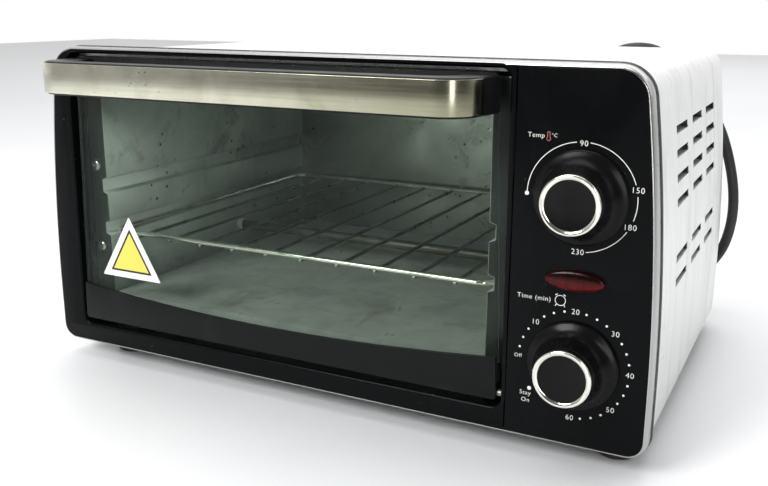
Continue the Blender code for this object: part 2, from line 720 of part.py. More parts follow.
def handle():
    """Plastic handle body, the steel strip round its front and the screws from behind the glass."""
    inner_front = -HANDLE_REACH + 0.0130
    inside = [(0.0880, GLASS_FRONT - GAP)] + arc((0.0760, inner_front + 0.012), 0.012, 0, -90, 5)
    inside += arc((-0.1300, inner_front + 0.012), 0.012, -90, -180, 5) + [(-0.1420, GLASS_FRONT - GAP)]
    low = HANDLE_HEIGHT - 0.0091
    high = HANDLE_HEIGHT + 0.0089
    body = flat_plate("handle_body", [handle_line(0.0011) + inside], low, high)
    for x in HANDLE_SCREW_X:
        combine(body, hole("handle_bore", (x, 0.02, HANDLE_HEIGHT), TOWARDS_FRONT, 0.0020 + GAP, 0.030, 14))
    finish(body, BLACK_PLASTIC, DOOR_HINGE)

    outer = handle_line(0.0)[1:-1]
    inner = handle_line(0.0008)[1:-1]
    strip = flat_plate("handle_strip", [outer + inner[::-1]], HANDLE_HEIGHT - 0.0080, HANDLE_HEIGHT + 0.0081)
    finish(strip, STEEL, DOOR_HINGE)

    head = [(0.0, 0.0150), (0.0020, 0.0150), (0.0020, 0.0), (0.0038, 0.0)]
    head += [(0.0038, -0.0014), (0.0026, -0.0024), (0.0, -0.0024)]
    for x, word in zip(HANDLE_SCREW_X, ("left", "right")):
        seat = (x, GLASS_BACK + GAP, HANDLE_HEIGHT)
        finish(turned(f"handle_screw_{word}", head, seat, TOWARDS_FRONT, 18), STEEL, DOOR_HINGE)


def rack():
    """Wire rack: a round-cornered frame with straight wires welded under it."""
    half = CAVITY_HALF + 0.0010
    thick = 0.0016
    corners = [(-half, RACK_FRONT), (half, RACK_FRONT), (half, RACK_BACK), (-half, RACK_BACK)]
    loop = [(CAVITY_X + x, y, RACK_HEIGHT) for x, y in rounded(corners, 0.009, 4)]
    frame = as_mesh(wire("wire_rack", loop, thick, closed=True))
    shape = bmesh.new()
    for k in range(RACK_WIRES):
        x = CAVITY_X + (k - (RACK_WIRES - 1) / 2) * RACK_PITCH
        ends = [(x, y, RACK_HEIGHT - 0.0021) for y in (RACK_FRONT - 0.001, RACK_BACK + 0.001)]
        bar = as_mesh(wire("bar", ends, 0.0011))
        shape.from_mesh(bar.data)
        bpy.data.objects.remove(bar)
    bars = mesh_object("rack_bars", shape)
    combine(frame, as_tool(bars), "UNION")
    finish(frame, CHROME, RACK_SLIDE)


def screws():
    """Pan-head screws in the chamber's left flange and in the rear panel."""
    pan = [(0.0, 0.0016), (0.0022, 0.0013), (0.0033, 0.0), (0.0014, 0.0), (0.0014, -0.0050), (0.0, -0.0050)]
    for level, z in FLANGE_SCREWS.items():
        seat = (FLANGE_SCREW_X, CAVITY_FRONT - GAP, z)
        finish(turned(f"flange_screw_{level}", pan, seat, TOWARDS_FRONT, 14), STEEL)
    for side, word in ((-1, "left"), (1, "right")):
        for z, level in ((0.0160, "lower"), (0.1450, "upper")):
            seat = (side * 0.1640, REAR_FACE + GAP, z)
            finish(turned(f"rear_screw_{level}_{word}", pan, seat, TOWARDS_BACK, 14), STEEL)


def feet_and_spacers():
    """Four rubber feet, and the two rear spacers that the lead is hung over."""
    foot = [(0.0, 0.0003), (0.0120, 0.0003), (0.0120, -0.0040)]
    foot += [(0.0105, -0.0112), (0.0097, -0.0120), (0.0, -0.0120)]
    for side, x in FEET.items():
        for row, y in FOOT_ROWS.items():
            finish(turned(f"foot_{row}_{side}", foot, (x, y, 0.0), (0.0, 0.0, 0.0), 28), RUBBER)
    for word, x in (("left", -0.115), ("right", 0.115)):
        arch = arc((x, SPACER_ARCH), SPACER_HALF, 0, 180, 14)
        outline = [(x + SPACER_HALF, SPACER_FOOT)] + arch + [(x - SPACER_HALF, SPACER_FOOT)]
        spacer = upright_plate(f"rear_spacer_{word}", [outline], DEPTH + CLEAR, DEPTH + SPACER_REACH)
        boss_span = ((x - 0.014, x + 0.014), (REAR_FACE + GAP, DEPTH + 0.002), (0.143, 0.163))
        boss = boxes("spacer_boss", [boss_span])
        combine(spacer, as_tool(boss), "UNION")
        finish(spacer, BLACK_PLASTIC)


def mains_lead():
    """Strain relief, the lead over the right spacer and down to the table, its coil, and the plug."""
    relief = [(0.0, GLAND_LENGTH), (0.0052, GLAND_LENGTH), (0.0060, 0.0050), (0.0095, 0.0040), (0.0095, GAP)]
    relief += [(0.0062, GAP), (0.0062, -0.0040), (0.0, -0.0040)]
    finish(turned("strain_relief", relief, GLAND, TOWARDS_BACK, 24), RUBBER)
    finish(wire("power_cord", smooth_line(CORD_ROUTE, 0.0135), CORD_RADIUS), RUBBER)
    outer = COIL_RADIUS + CORD_RADIUS + 0.0002
    inner = COIL_RADIUS - CORD_RADIUS - 0.0002
    ring = [(inner, COIL_HEIGHT), (outer, COIL_HEIGHT)]
    ring += [(outer, GAP), (inner, GAP), (inner, COIL_HEIGHT)]
    finish(turned("cord_coil", ring, COIL_CENTRE, (0.0, 0.0, 0.0), 40), RUBBER)
    finish(wire("plug_lead", smooth_line(LEAD_ROUTE, 0.0125), CORD_RADIUS), RUBBER)

    along = (0.0, -math.pi / 2, 0.0)
    body = [(0.0, 0.0330), (0.0160, 0.0330), (0.0178, 0.0310), (0.0178, 0.0060), (0.0140, -0.0040)]
    body += [(0.0080, -0.0080), (0.0048, -0.0340), (0.0, -0.0340)]
    plug = turned("plug_body", body, PLUG, along, 32)
    for side in (-1, 1):
        place = PLUG + Vector((0.0, side * 0.0095, 0.0))
        combine(plug, hole("pin_socket", place + Vector((-0.02, 0, 0)), along, 0.0024 + GAP, 0.03, 14))
    finish(plug, BLACK_PLASTIC)
    for side, word in ((-1, "front"), (1, "rear")):
        place = PLUG + Vector((-0.0204, side * 0.0095, 0.0))
        finish(rod(f"plug_pin_{word}", place, along, 0.0024, 0.0316, 14, 0.0008), STEEL)


front_panels()
front_frame()
casing()
cavity()
heaters()
controls()
knob("temperature", THERMOSTAT, TEMPERATURE_TURN)
knob("timer", TIMER, TIMER_TURN)
door()
handle()
rack()
screws()
feet_and_spacers()
mains_lead()
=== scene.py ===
"""Looks of the bench reflow oven. Every piece stands where the CAD frame says.

Points are given from the face datum: x from the oven's middle, y back from the front face, and
z up from the face's lower edge. All lengths are in metres.
"""
import math

import bmesh
import bpy
from mathutils import Matrix, Vector


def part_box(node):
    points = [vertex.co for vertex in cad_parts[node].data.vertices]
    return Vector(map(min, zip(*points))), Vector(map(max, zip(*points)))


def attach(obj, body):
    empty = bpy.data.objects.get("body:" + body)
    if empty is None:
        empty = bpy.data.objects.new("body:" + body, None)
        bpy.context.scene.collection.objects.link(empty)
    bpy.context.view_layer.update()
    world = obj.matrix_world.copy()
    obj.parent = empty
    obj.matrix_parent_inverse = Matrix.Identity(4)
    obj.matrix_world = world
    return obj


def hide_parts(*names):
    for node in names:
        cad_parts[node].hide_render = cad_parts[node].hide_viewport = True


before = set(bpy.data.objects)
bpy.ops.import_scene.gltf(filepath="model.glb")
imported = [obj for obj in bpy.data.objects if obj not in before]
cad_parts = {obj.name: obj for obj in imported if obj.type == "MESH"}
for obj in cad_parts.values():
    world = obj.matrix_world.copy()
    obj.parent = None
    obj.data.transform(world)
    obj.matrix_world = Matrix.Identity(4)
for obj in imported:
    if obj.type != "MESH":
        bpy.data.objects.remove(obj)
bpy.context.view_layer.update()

FRAME_LOW, FRAME_HIGH = (Vector(c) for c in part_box("door_frame"))
PANEL_LOW, PANEL_HIGH = (Vector(c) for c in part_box("control_panel"))
DATUM = Vector((0.0, FRAME_LOW.y, FRAME_LOW.z))
HALF_WIDTH = PANEL_HIGH.x
FACE_HEIGHT = PANEL_HIGH.z - DATUM.z
SPLIT = (FRAME_HIGH.x + PANEL_LOW.x) / 2


def local(node):
    """A CAD node's corners from the face datum."""
    low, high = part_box(node)
    return Vector(low) - DATUM, Vector(high) - DATUM


def middle(node):
    low, high = local(node)
    return (low + high) / 2


# ---------------------------------------------------------------- materials


def node_in(tree, kind, sockets=(), **settings):
    """A new shader node. Each socket gets a value, or a link from another node's output."""
    made = tree.nodes.new(kind)
    for name, value in settings.items():
        setattr(made, name, value)
    for key, value in dict(sockets).items():
        if isinstance(value, bpy.types.NodeSocket):
            tree.links.new(value, made.inputs[key])
        else:
            made.inputs[key].default_value = value
    return made


class Paint:
    """A material under construction: a Principled shader and the nodes that feed it."""

    def __init__(self, name, colour, roughness, metallic=0.0):
        self.made = bpy.data.materials.new(name)
        self.made.use_nodes = True
        self.made.diffuse_color = (*colour, 1.0)
        self.tree = self.made.node_tree
        self.shader = self.tree.nodes["Principled BSDF"]
        self.colour = (*colour, 1.0)
        self.setting("Base Color", self.colour)
        self.setting("Roughness", roughness).setting("Metallic", metallic)
        self.place = self.node("ShaderNodeTexCoord").outputs["Object"]

    def node(self, kind, sockets=(), **settings):
        return node_in(self.tree, kind, sockets, **settings)

    def setting(self, name, value):
        self.shader.inputs[name].default_value = value
        return self

    def feed(self, name, source):
        self.tree.links.new(source, self.shader.inputs[name])
        return self

    def along(self, axis):
        return self.node("ShaderNodeSeparateXYZ", {"Vector": self.place}).outputs[axis]

    def stretched(self, scale):
        return self.node("ShaderNodeMapping", {"Scale": scale, "Vector": self.place}).outputs["Vector"]

    def noise(self, scale, stretch=(1, 1, 1), detail=4.0, rough=0.6, distortion=0.0):
        sockets = {"Scale": scale, "Detail": detail, "Roughness": rough, "Distortion": distortion}
        sockets["Vector"] = self.stretched(stretch)
        return self.node("ShaderNodeTexNoise", sockets).outputs["Fac"]

    def cells(self, scale, stretch=(1, 1, 1)):
        sockets = {"Scale": scale, "Vector": self.stretched(stretch)}
        return self.node("ShaderNodeTexVoronoi", sockets).outputs["Distance"]

    def remap(self, value, low, high, to_low=0.0, to_high=1.0):
        sockets = {"Value": value, "From Min": low, "From Max": high, "To Min": to_low, "To Max": to_high}
        return self.node("ShaderNodeMapRange", sockets, clamp=True).outputs["Result"]

    def math(self, operation, first, second):
        return self.node("ShaderNodeMath", {0: first, 1: second}, operation=operation).outputs[0]

    def tint(self, mask, colour):
        """Mixes a colour in where the mask is 1."""
        sockets = {0: mask, 6: self.colour, 7: (*colour, 1.0)}
        self.colour = self.node("ShaderNodeMix", sockets, data_type="RGBA").outputs[2]
        return self.feed("Base Color", self.colour)

    def rough(self, value, low, high):
        return self.feed("Roughness", self.remap(value, 0.3, 0.7, low, high))

    def bump(self, value, depth):
        sockets = {"Strength": 1.0, "Distance": depth, "Height": value}
        return self.feed("Normal", self.node("ShaderNodeBump", sockets).outputs["Normal"])

    def specks(self, scale, size, colour, patch_scale, patch_from, stretch=(1, 1, 1)):
        """Small dots of a colour, only in some patches."""
        dots = self.remap(self.cells(scale, stretch), size, size * 0.55)
        patches = self.remap(self.noise(patch_scale, detail=2.0), patch_from, patch_from + 0.08)
        return self.tint(self.math("MULTIPLY", dots, patches), colour)


def black_enamel():
    paint = Paint("black_enamel", (0.0022, 0.0026, 0.0029), 0.22)
    paint.setting("Specular IOR Level", 0.07)
    paint.specks(420, 0.10, (0.16, 0.17, 0.17), 22, 0.60)
    smudge = paint.noise(26, (1, 1, 1), 6, 0.65, 0.4)
    paint.rough(smudge, 0.15, 0.34)
    return paint.bump(paint.noise(900, detail=2), 0.00001).made


def bare_steel(name, colour, stretch, rough=(0.20, 0.36), stain=(0.30, 0.27, 0.20), stain_from=0.60):
    """Bare sheet steel with a grain along one axis, stains and dark pits."""
    paint = Paint(name, colour, 0.28, 1.0)
    grain = paint.noise(1.0, stretch, 5, 0.7)
    paint.tint(paint.remap(grain, 0.30, 0.72, 0.0, 0.32), tuple(0.55 * c for c in colour))
    paint.tint(paint.remap(paint.noise(34, detail=5, distortion=0.6), stain_from, 0.80, 0.0, 0.55), stain)
    paint.specks(260, 0.13, (0.06, 0.05, 0.04), 20, 0.56)
    return paint.rough(grain, *rough).bump(grain, 0.000012)


def tarnished_and_shaded_strip():
    """Brushed strip, duller and browner towards its right end: partly tarnish, partly painted shade
    standing for the dimmer reflection there.
    """
    stain = (0.24, 0.22, 0.13)
    paint = bare_steel("handle_steel", (0.66, 0.65, 0.53), (14, 14, 900), (0.14, 0.26), stain, 0.46)
    # Painted shade with some tarnish: the strip darkens and browns from left to right along X.
    tarnish_and_shade = paint.remap(paint.along("X"), -0.060, 0.070, 0.0, 0.75)
    return paint.tint(tarnish_and_shade, (0.17, 0.165, 0.10)).made


def shell_steel():
    """Light satin sheet with an upright grain, faint run marks and pin specks."""
    paint = Paint("shell_steel", (0.83, 0.84, 0.83), 0.32, 0.85)
    grain = paint.noise(1.0, (420, 420, 16), 5, 0.65)
    paint.tint(paint.remap(grain, 0.34, 0.72, 0.0, 0.30), (0.52, 0.53, 0.53))
    runs = paint.noise(1.0, (95, 60, 7), 4, 0.6)
    paint.tint(paint.remap(runs, 0.52, 0.74, 0.0, 0.42), (0.46, 0.47, 0.45))
    paint.tint(
        paint.remap(paint.noise(15, (1, 1, 0.7), 6, 0.65), 0.54, 0.74, 0.0, 0.22), (0.50, 0.51, 0.50)
    )
    paint.specks(150, 0.12, (0.20, 0.19, 0.17), 16, 0.50, (1.6, 1.0, 0.55))
    paint.specks(330, 0.15, (0.30, 0.29, 0.27), 9, 0.52)
    paint.rough(runs, 0.28, 0.46)
    return paint.bump(grain, 0.000012).made


def galvanised(name, colour=(0.60, 0.62, 0.61), stains=0.58, metallic=0.25, rough=(0.26, 0.52)):
    """Zinc or aluminium coated sheet, clouded and splashed with burnt-on spots."""
    paint = Paint(name, colour, 0.40, metallic)
    cloud = paint.noise(38, detail=6, rough=0.62, distortion=0.5)
    paint.tint(paint.remap(cloud, 0.36, 0.66, 0.0, 0.5), tuple(0.62 * c for c in colour))
    burnt = paint.noise(23, detail=7, rough=0.7, distortion=0.4)
    paint.tint(paint.remap(burnt, stains, stains + 0.12, 0.0, 0.55), (0.095, 0.070, 0.068))
    paint.specks(120, 0.16, (0.05, 0.04, 0.035), 13, 0.50)
    paint.rough(cloud, *rough)
    return paint.bump(cloud, 0.00006).made


def chamber_floor_finish():
    """Chamber floor: clouded zinc with a few scorched patches."""
    paint = Paint("chamber_floor_finish", (0.62, 0.64, 0.63), 0.38, 0.1)
    paint.setting("Specular IOR Level", 0.2)
    cloud = paint.noise(38, detail=6, rough=0.62, distortion=0.5)
    paint.tint(paint.remap(cloud, 0.36, 0.66, 0.0, 0.5), (0.29, 0.30, 0.28))
    burnt = paint.noise(21, detail=7, rough=0.7, distortion=0.5)
    paint.tint(paint.remap(burnt, 0.57, 0.70, 0.0, 0.55), (0.170, 0.120, 0.080))
    paint.rough(cloud, 0.24, 0.5)
    return paint.bump(cloud, 0.00006).made


def chrome(name, colour=(0.76, 0.75, 0.68), rough=(0.06, 0.16)):
    paint = Paint(name, colour, 0.1, 1.0)
    film = paint.noise(60, detail=5)
    paint.tint(paint.remap(film, 0.50, 0.72, 0.0, 0.6), (0.30, 0.28, 0.22))
    return paint.rough(film, *rough).bump(paint.noise(320, detail=2), 0.000008).made


def heated_steel(name):
    """Heater sheath: dark oxidised steel with darker brown heat bands and pale specks."""
    paint = Paint(name, (0.16, 0.15, 0.14), 0.45, 0.9)
    paint.tint(paint.remap(paint.noise(22, detail=5), 0.45, 0.65, 0.0, 0.7), (0.10, 0.075, 0.05))
    paint.specks(500, 0.2, (0.30, 0.28, 0.25), 30, 0.5)
    return paint.rough(paint.noise(90), 0.35, 0.6).bump(paint.noise(700), 0.00002).made


def plastic(name, colour=(0.0035, 0.0035, 0.0037), rough=(0.20, 0.36), grain=0.000012):
    paint = Paint(name, colour, 0.28)
    paint.setting("Specular IOR Level", 0.12)
    paint.tint(paint.remap(paint.noise(40, detail=5), 0.55, 0.72, 0.0, 0.5), tuple(2.6 * c for c in colour))
    paint.rough(paint.noise(52, detail=6, distortion=0.3), *rough)
    return paint.bump(paint.noise(1500, detail=2), grain).made


def rubber(name, colour=(0.012, 0.012, 0.012)):
    paint = Paint(name, colour, 0.6)
    paint.tint(paint.remap(paint.noise(45, detail=5), 0.50, 0.70, 0.0, 0.6), (0.045, 0.044, 0.042))
    paint.rough(paint.noise(60), 0.42, 0.68)
    return paint.bump(paint.noise(1100, detail=3), 0.00003).made


def ceramic():
    paint = Paint("ceramic", (0.78, 0.75, 0.68), 0.5)
    paint.tint(paint.remap(paint.noise(140, detail=5), 0.5, 0.7, 0.0, 0.6), (0.52, 0.46, 0.38))
    return paint.rough(paint.noise(200), 0.4, 0.6).bump(paint.noise(900), 0.00003).made


def printed(name, colour, rough=0.45):
    """Ink or label film with small flaws."""
    paint = Paint(name, colour, rough)
    flaws = paint.noise(700, detail=3)
    paint.tint(paint.remap(flaws, 0.62, 0.74, 0.0, 0.5), tuple(0.7 * c for c in colour))
    return paint.rough(flaws, rough - 0.1, rough + 0.1).bump(flaws, 0.000006).made


def red_lens():
    paint = Paint("red_lens", (0.085, 0.0025, 0.0025), 0.16)
    paint.tint(paint.remap(paint.noise(160, (3, 1, 0.6)), 0.40, 0.62, 0.0, 0.8), (0.030, 0.0010, 0.0010))
    # Painted shade: the lens is darkened towards its top, so its lower part reads brighter, as if lit.
    paint.tint(paint.remap(paint.along("Z"), 0.0812, 0.0832, 0.0, 0.9), (0.0040, 0.0006, 0.0006))
    paint.setting("Specular IOR Level", 0.14)
    return paint.bump(paint.noise(420, (6, 1, 1)), 0.00005).made


def door_pane():
    """Tinted glass with smears, mirror-like where it is seen at a slant."""
    paint = Paint("door_pane", (0.62, 0.70, 0.63), 0.02)
    paint.setting("Specular IOR Level", 0.5).setting("Base Color", (0.16, 0.19, 0.175, 1.0))
    smear = paint.noise(17, (1, 1, 1.6), 7, 0.7, 1.1)
    paint.feed("Roughness", paint.remap(smear, 0.45, 0.75, 0.015, 0.14))
    clear = paint.node("ShaderNodeBsdfTransparent", {"Color": (0.86, 0.90, 0.86, 1.0)})
    mirror = paint.node("ShaderNodeFresnel", {"IOR": 1.50})
    haze = paint.remap(smear, 0.50, 0.80, 0.012, 0.072)
    share = paint.math("ADD", paint.math("MULTIPLY", mirror.outputs[0], 0.40), haze)
    shaders = {0: share, 1: clear.outputs[0], 2: paint.shader.outputs[0]}
    mix = paint.node("ShaderNodeMixShader", shaders)
    paint.tree.links.new(mix.outputs[0], paint.tree.nodes["Material Output"].inputs["Surface"])
    return paint.made


ENAMEL = black_enamel()
RIM = bare_steel("rim_steel", (0.44, 0.44, 0.43), (300, 300, 24), (0.14, 0.30)).made
STRIP = tarnished_and_shaded_strip()
SHELL = shell_steel()
ZINC = galvanised("chamber_zinc")
OUTER_ZINC = galvanised("outer_zinc", (0.56, 0.57, 0.57), 0.66, 0.8)
BACK = galvanised("back_wall_zinc", (0.42, 0.43, 0.41), 0.58, 0.8, (0.16, 0.30))
# Painted shade: the flanges' zinc is darkened to near black to stand for the shade on their forward faces.
SHADED_FLANGE = galvanised("flange_zinc", (0.022, 0.024, 0.024), 0.62)
FLOOR = chamber_floor_finish()
CHROME = chrome("knob_chrome")
WIRE = chrome("rack_chrome", (0.92, 0.92, 0.86), (0.12, 0.26))
DULL_WIRE = chrome("rack_bar_chrome", (0.20, 0.21, 0.19), (0.22, 0.40))
SCREW = bare_steel("screw_steel", (0.62, 0.61, 0.58), (400, 400, 400)).made
SHEATH = heated_steel("heater_sheath")
GLOSS_PLASTIC = plastic("knob_plastic", rough=(0.16, 0.30))
HANDLE_PLASTIC = plastic("handle_plastic", (0.010, 0.010, 0.010), (0.26, 0.42), 0.00002)
SATIN_PLASTIC = plastic("satin_plastic", (0.014, 0.014, 0.014), (0.36, 0.50), 0.00003)
RAIL = plastic("rail_enamel", (0.0050, 0.0058, 0.0058), (0.26, 0.42))
FOOT_RUBBER = rubber("foot_rubber")
CORD_RUBBER = rubber("cord_rubber", (0.014, 0.014, 0.015))
CERAMIC = ceramic()
WHITE_INK = printed("white_ink", (0.80, 0.80, 0.78))
DARK_INK = printed("dark_ink", (0.010, 0.010, 0.010))
YELLOW_FILM = printed("yellow_film", (0.70, 0.62, 0.10), 0.38)
RED_INK = printed("red_ink", (0.55, 0.16, 0.15))
LENS = red_lens()
PANE = door_pane()


# ---------------------------------------------------------------- shape tools


def show(item, material, body, slot, *nodes, sharp=35.0):
    """Finishes a piece: its place, shading, material, body and the CAD nodes it stands for. The slot
    argument is not used.
    """
    if item.name not in bpy.context.scene.collection.all_objects:
        bpy.context.scene.collection.objects.link(item)
    item.location = DATUM
    item.data.materials.clear()
    item.data.materials.append(material)
    if item.type == "MESH":
        item.data.shade_smooth()
        item.data.set_sharp_from_angle(angle=math.radians(sharp))
    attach(item, body)
    if nodes:
        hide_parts(*nodes)
    return item


def mesh_of(name, shape, recalc=True):
    if recalc:
        bmesh.ops.recalc_face_normals(shape, faces=shape.faces)
    data = bpy.data.meshes.new(name)
    shape.to_mesh(data)
    shape.free()
    return bpy.data.objects.new(name, data)


def arc(centre, radius, start, end, steps):
    angles = [math.radians(start + (end - start) * k / steps) for k in range(steps + 1)]
    return [(centre[0] + radius * math.cos(a), centre[1] + radius * math.sin(a)) for a in angles]


def ellipse(x, z, wide, high, steps):
    angles = [math.tau * k / steps for k in range(steps)]
    return [(x + wide * math.cos(a), z + high * math.sin(a)) for a in angles]


def circle(x, z, radius, steps):
    return ellipse(x, z, radius, radius, steps)


def arch(x, spring, radius, bottom, steps):
    """An arch's outline, from its right foot over to its left one."""
    return [(x + radius, bottom), *arc((x, spring), radius, 0, 180, steps), (x - radius, bottom)]


def trapezium(centre, low_half, low, high_half, high):
    return [
        (centre - low_half, low), (centre + low_half, low), (centre + high_half, high),
        (centre - high_half, high)
    ]


def rounded(corners, radius, steps=8):
    """A closed outline with an arc at each corner."""
    points = []
    for i, corner in enumerate(corners):
        here = Vector(corner)
        back = (Vector(corners[i - 1]) - here).normalized()
        ahead = (Vector(corners[(i + 1) % len(corners)]) - here).normalized()
        half = back.angle(ahead) / 2
        centre = here + (back + ahead).normalized() * radius / math.sin(half)
        first = here + back * radius / math.tan(half) - centre
        last = here + ahead * radius / math.tan(half) - centre
        start = math.degrees(math.atan2(first.y, first.x))
        sweep = math.copysign(180 - math.degrees(2 * half), first.cross(last))
        points += arc(centre, radius, start, start + sweep, steps)
    return points


BOW_START = 0.0300
BOW_RADIUS = 0.995
TOP_CORNER = 0.0140
BOTTOM_CORNER = 0.0080


def bowed_side(inset, bottom, steps=22):
    """The right side of the oven's outline, from its lower corner to the middle of the top."""
    bow = BOW_RADIUS - inset
    bow_x = HALF_WIDTH - BOW_RADIUS
    top = FACE_HEIGHT - inset
    radius = TOP_CORNER - inset
    rise = top - radius - BOW_START
    corner_x = bow_x + math.sqrt((bow - radius) ** 2 - rise ** 2)
    lean = math.degrees(math.asin(rise / (bow - radius)))
    points = [(HALF_WIDTH - inset, bottom)]
    points += arc((bow_x, BOW_START), bow, 0, lean, steps)
    points += arc((corner_x, top - radius), radius, lean, 90, 14)[1:]
    return points


def face_outline(inset):
    radius = BOTTOM_CORNER - inset
    corner = (HALF_WIDTH - inset - radius, inset + radius)
    right = arc(corner, radius, -90, 0, 10)[:-1] + bowed_side(inset, corner[1])
    return right + [(-x, z) for x, z in reversed(right)]


def clipped(points, limit, keep):
    """The part of a closed outline on one side of x = limit; keep is -1 for left and 1 for right."""
    kept = []
    for here, following in zip(points, points[1:] + points[:1]):
        inside = keep * (here[0] - limit) >= 0
        inside_next = keep * (following[0] - limit) >= 0
        if inside:
            kept.append(here)
        if inside != inside_next:
            part = (limit - here[0]) / (following[0] - here[0])
            kept.append((limit, here[1] + part * (following[1] - here[1])))
    return kept


def grown(points, distance):
    moved = []
    for i, point in enumerate(points):
        along = Vector(points[(i + 1) % len(points)]) - Vector(points[i - 1])
        out = Vector((along.y, -along.x)).normalized()
        moved.append(tuple(Vector(point) + out * distance))
    return moved


UPRIGHT = Matrix.Rotation(math.pi / 2, 4, "X")


def absorb(shape, item):
    """Adds an unlinked piece's finished mesh to a shape, and drops the piece."""
    bpy.context.scene.collection.objects.link(item)
    evaluated = item.evaluated_get(bpy.context.evaluated_depsgraph_get())
    shape.from_mesh(evaluated.to_mesh())
    bpy.data.objects.remove(item)


def add_line(data, points, closed):
    spline = data.splines.new("POLY")
    spline.points.add(len(points) - 1)
    for point, place in zip(spline.points, points):
        point.co = (*place, 1.0)
    spline.use_cyclic_u = closed
    return spline


def plate(name, loops, front, back, edge, level=False):
    """A plate with rounded edges. Its outline is (x, z), or (x, y) for a level one."""
    data = bpy.data.curves.new(name, "CURVE")
    data.dimensions = "2D"
    data.fill_mode = "BOTH"
    data.extrude = abs(back - front) / 2 - edge
    data.bevel_depth = edge
    data.bevel_resolution = 2
    data.offset = -edge
    for loop in loops:
        add_line(data, [(x, y, 0.0) for x, y in loop], True)
    shape = bmesh.new()
    absorb(shape, bpy.data.objects.new(name, data))
    bmesh.ops.remove_doubles(shape, verts=shape.verts, dist=0.0000005)
    centre = (front + back) / 2
    turn = Matrix.Translation((0, 0, centre)) if level else Matrix.Translation((0, centre, 0)) @ UPRIGHT
    bmesh.ops.transform(shape, matrix=turn, verts=shape.verts)
    return mesh_of(name, shape)


def ring_loft(name, outline, section):
    """A closed ring along an outline of (x, z). The section is (outward, depth), closed."""
    shape = bmesh.new()
    rings = []
    for out, depth in section:
        rings.append([shape.verts.new((x, depth, z)) for x, z in grown(outline, out)])
    for ring, following in zip(rings, rings[1:] + rings[:1]):
        for i in range(len(ring)):
            shape.faces.new((ring[i - 1], ring[i], following[i], following[i - 1]))
    return mesh_of(name, shape)


def lathe(name, profile, centre, direction, steps=64, squash=1.0):
    """A turned solid. The profile is (radius, height along the direction)."""
    shape = bmesh.new()
    rings = []
    for radius, height in profile:
        flat = ellipse(0, 0, radius, squash * radius, steps) if radius else [(0, 0)]
        rings.append([shape.verts.new((x, y, height)) for x, y in flat])
    for first, second in zip(rings, rings[1:]):
        for k in range(steps):
            m = (k + 1) % steps
            if len(first) == 1 and len(second) > 1:
                shape.faces.new((first[0], second[k], second[m]))
            elif len(second) == 1 and len(first) > 1:
                shape.faces.new((first[k], second[0], first[m]))
            elif len(first) > 1:
                shape.faces.new((first[k], second[k], second[m], first[m]))
    turn = Vector((0, 0, 1)).rotation_difference(Vector(direction)).to_matrix().to_4x4()
    bmesh.ops.transform(shape, matrix=Matrix.Translation(centre) @ turn, verts=shape.verts)
    return mesh_of(name, shape)


def boxes(name, spans, edge=0.0):
    """Separate boxes in one mesh, with rounded edges."""
    shape = bmesh.new()
    for span in spans:
        corners = bmesh.ops.create_cube(shape, size=1.0)["verts"]
        for corner in corners:
            for axis in range(3):
                low, high = span[axis]
                corner.co[axis] = (low + high) / 2 + corner.co[axis] * (high - low)
    if edge:
        bmesh.ops.bevel(shape, geom=shape.edges[:], offset=edge, segments=2, profile=0.5, affect="EDGES")
    return mesh_of(name, shape)


def thicken(item, thickness, even):
    sheet = item.modifiers.new("sheet", "SOLIDIFY")
    sheet.thickness = thickness
    sheet.offset = 0.0
    sheet.use_even_offset = even


def folded(name, line, front, back, thickness):
    """A sheet folded along (x, z) points and running from front to back."""
    shape = bmesh.new()
    near, far = ([shape.verts.new((x, y, z)) for x, z in line] for y in (front, back))
    for i in range(len(line) - 1):
        shape.faces.new((near[i], near[i + 1], far[i + 1], far[i]))
    item = mesh_of(name, shape, recalc=False)
    thicken(item, thickness, True)
    return item


def tube(name, points, radius, closed=False, resolution=4):
    data = bpy.data.curves.new(name, "CURVE")
    data.dimensions = "3D"
    data.bevel_depth = radius
    data.bevel_resolution = resolution
    data.use_fill_caps = True
    add_line(data, points, closed).use_smooth = True
    return bpy.data.objects.new(name, data)


def merged(name, items):
    """Several unlinked pieces as one mesh."""
    shape = bmesh.new()
    for item in items:
        absorb(shape, item)
    return mesh_of(name, shape, recalc=False)


def carved(item, cutter):
    """The piece with a cutter taken out of it, as a plain mesh."""
    for one in (item, cutter):
        bpy.context.scene.collection.objects.link(one)
    boolean = item.modifiers.new("carve", "BOOLEAN")
    boolean.object = cutter
    bpy.context.view_layer.update()
    evaluated = item.evaluated_get(bpy.context.evaluated_depsgraph_get())
    name = item.name
    data = bpy.data.meshes.new_from_object(evaluated)
    for one in (item, cutter):
        bpy.data.objects.remove(one)
    return bpy.data.objects.new(name, data)


def smooth_line(points, spacing):
    """Evenly spaced points on a smooth curve through the given ones."""
    knots = [Vector(p) for p in points]
    knots = [2 * knots[0] - knots[1]] + knots + [2 * knots[-1] - knots[-2]]
    fine = []
    for a, b, c, d in zip(knots, knots[1:], knots[2:], knots[3:]):
        for k in range(16):
            t = k / 16
            bend = (
                2 * b, (c - a) * t, (2 * a - 5 * b + 4 * c - d) * t ** 2, (3 * b - a - 3 * c + d) * t ** 3
            )
            fine.append(sum(bend, Vector()) / 2)
    fine.append(knots[-2])
    length = line_length(fine)
    count = round(length / spacing)
    even = [fine[0]]
    walked = 0.0
    for p, q in zip(fine, fine[1:]):
        step = (q - p).length
        while len(even) < count and walked + step >= len(even) * length / count:
            even.append(p.lerp(q, (len(even) * length / count - walked) / step))
        walked += step
    return even + [fine[-1]]


def line_length(points):
    return sum((q - p).length for p, q in zip(points, points[1:]))


# ---------------------------------------------------------------- mains lead

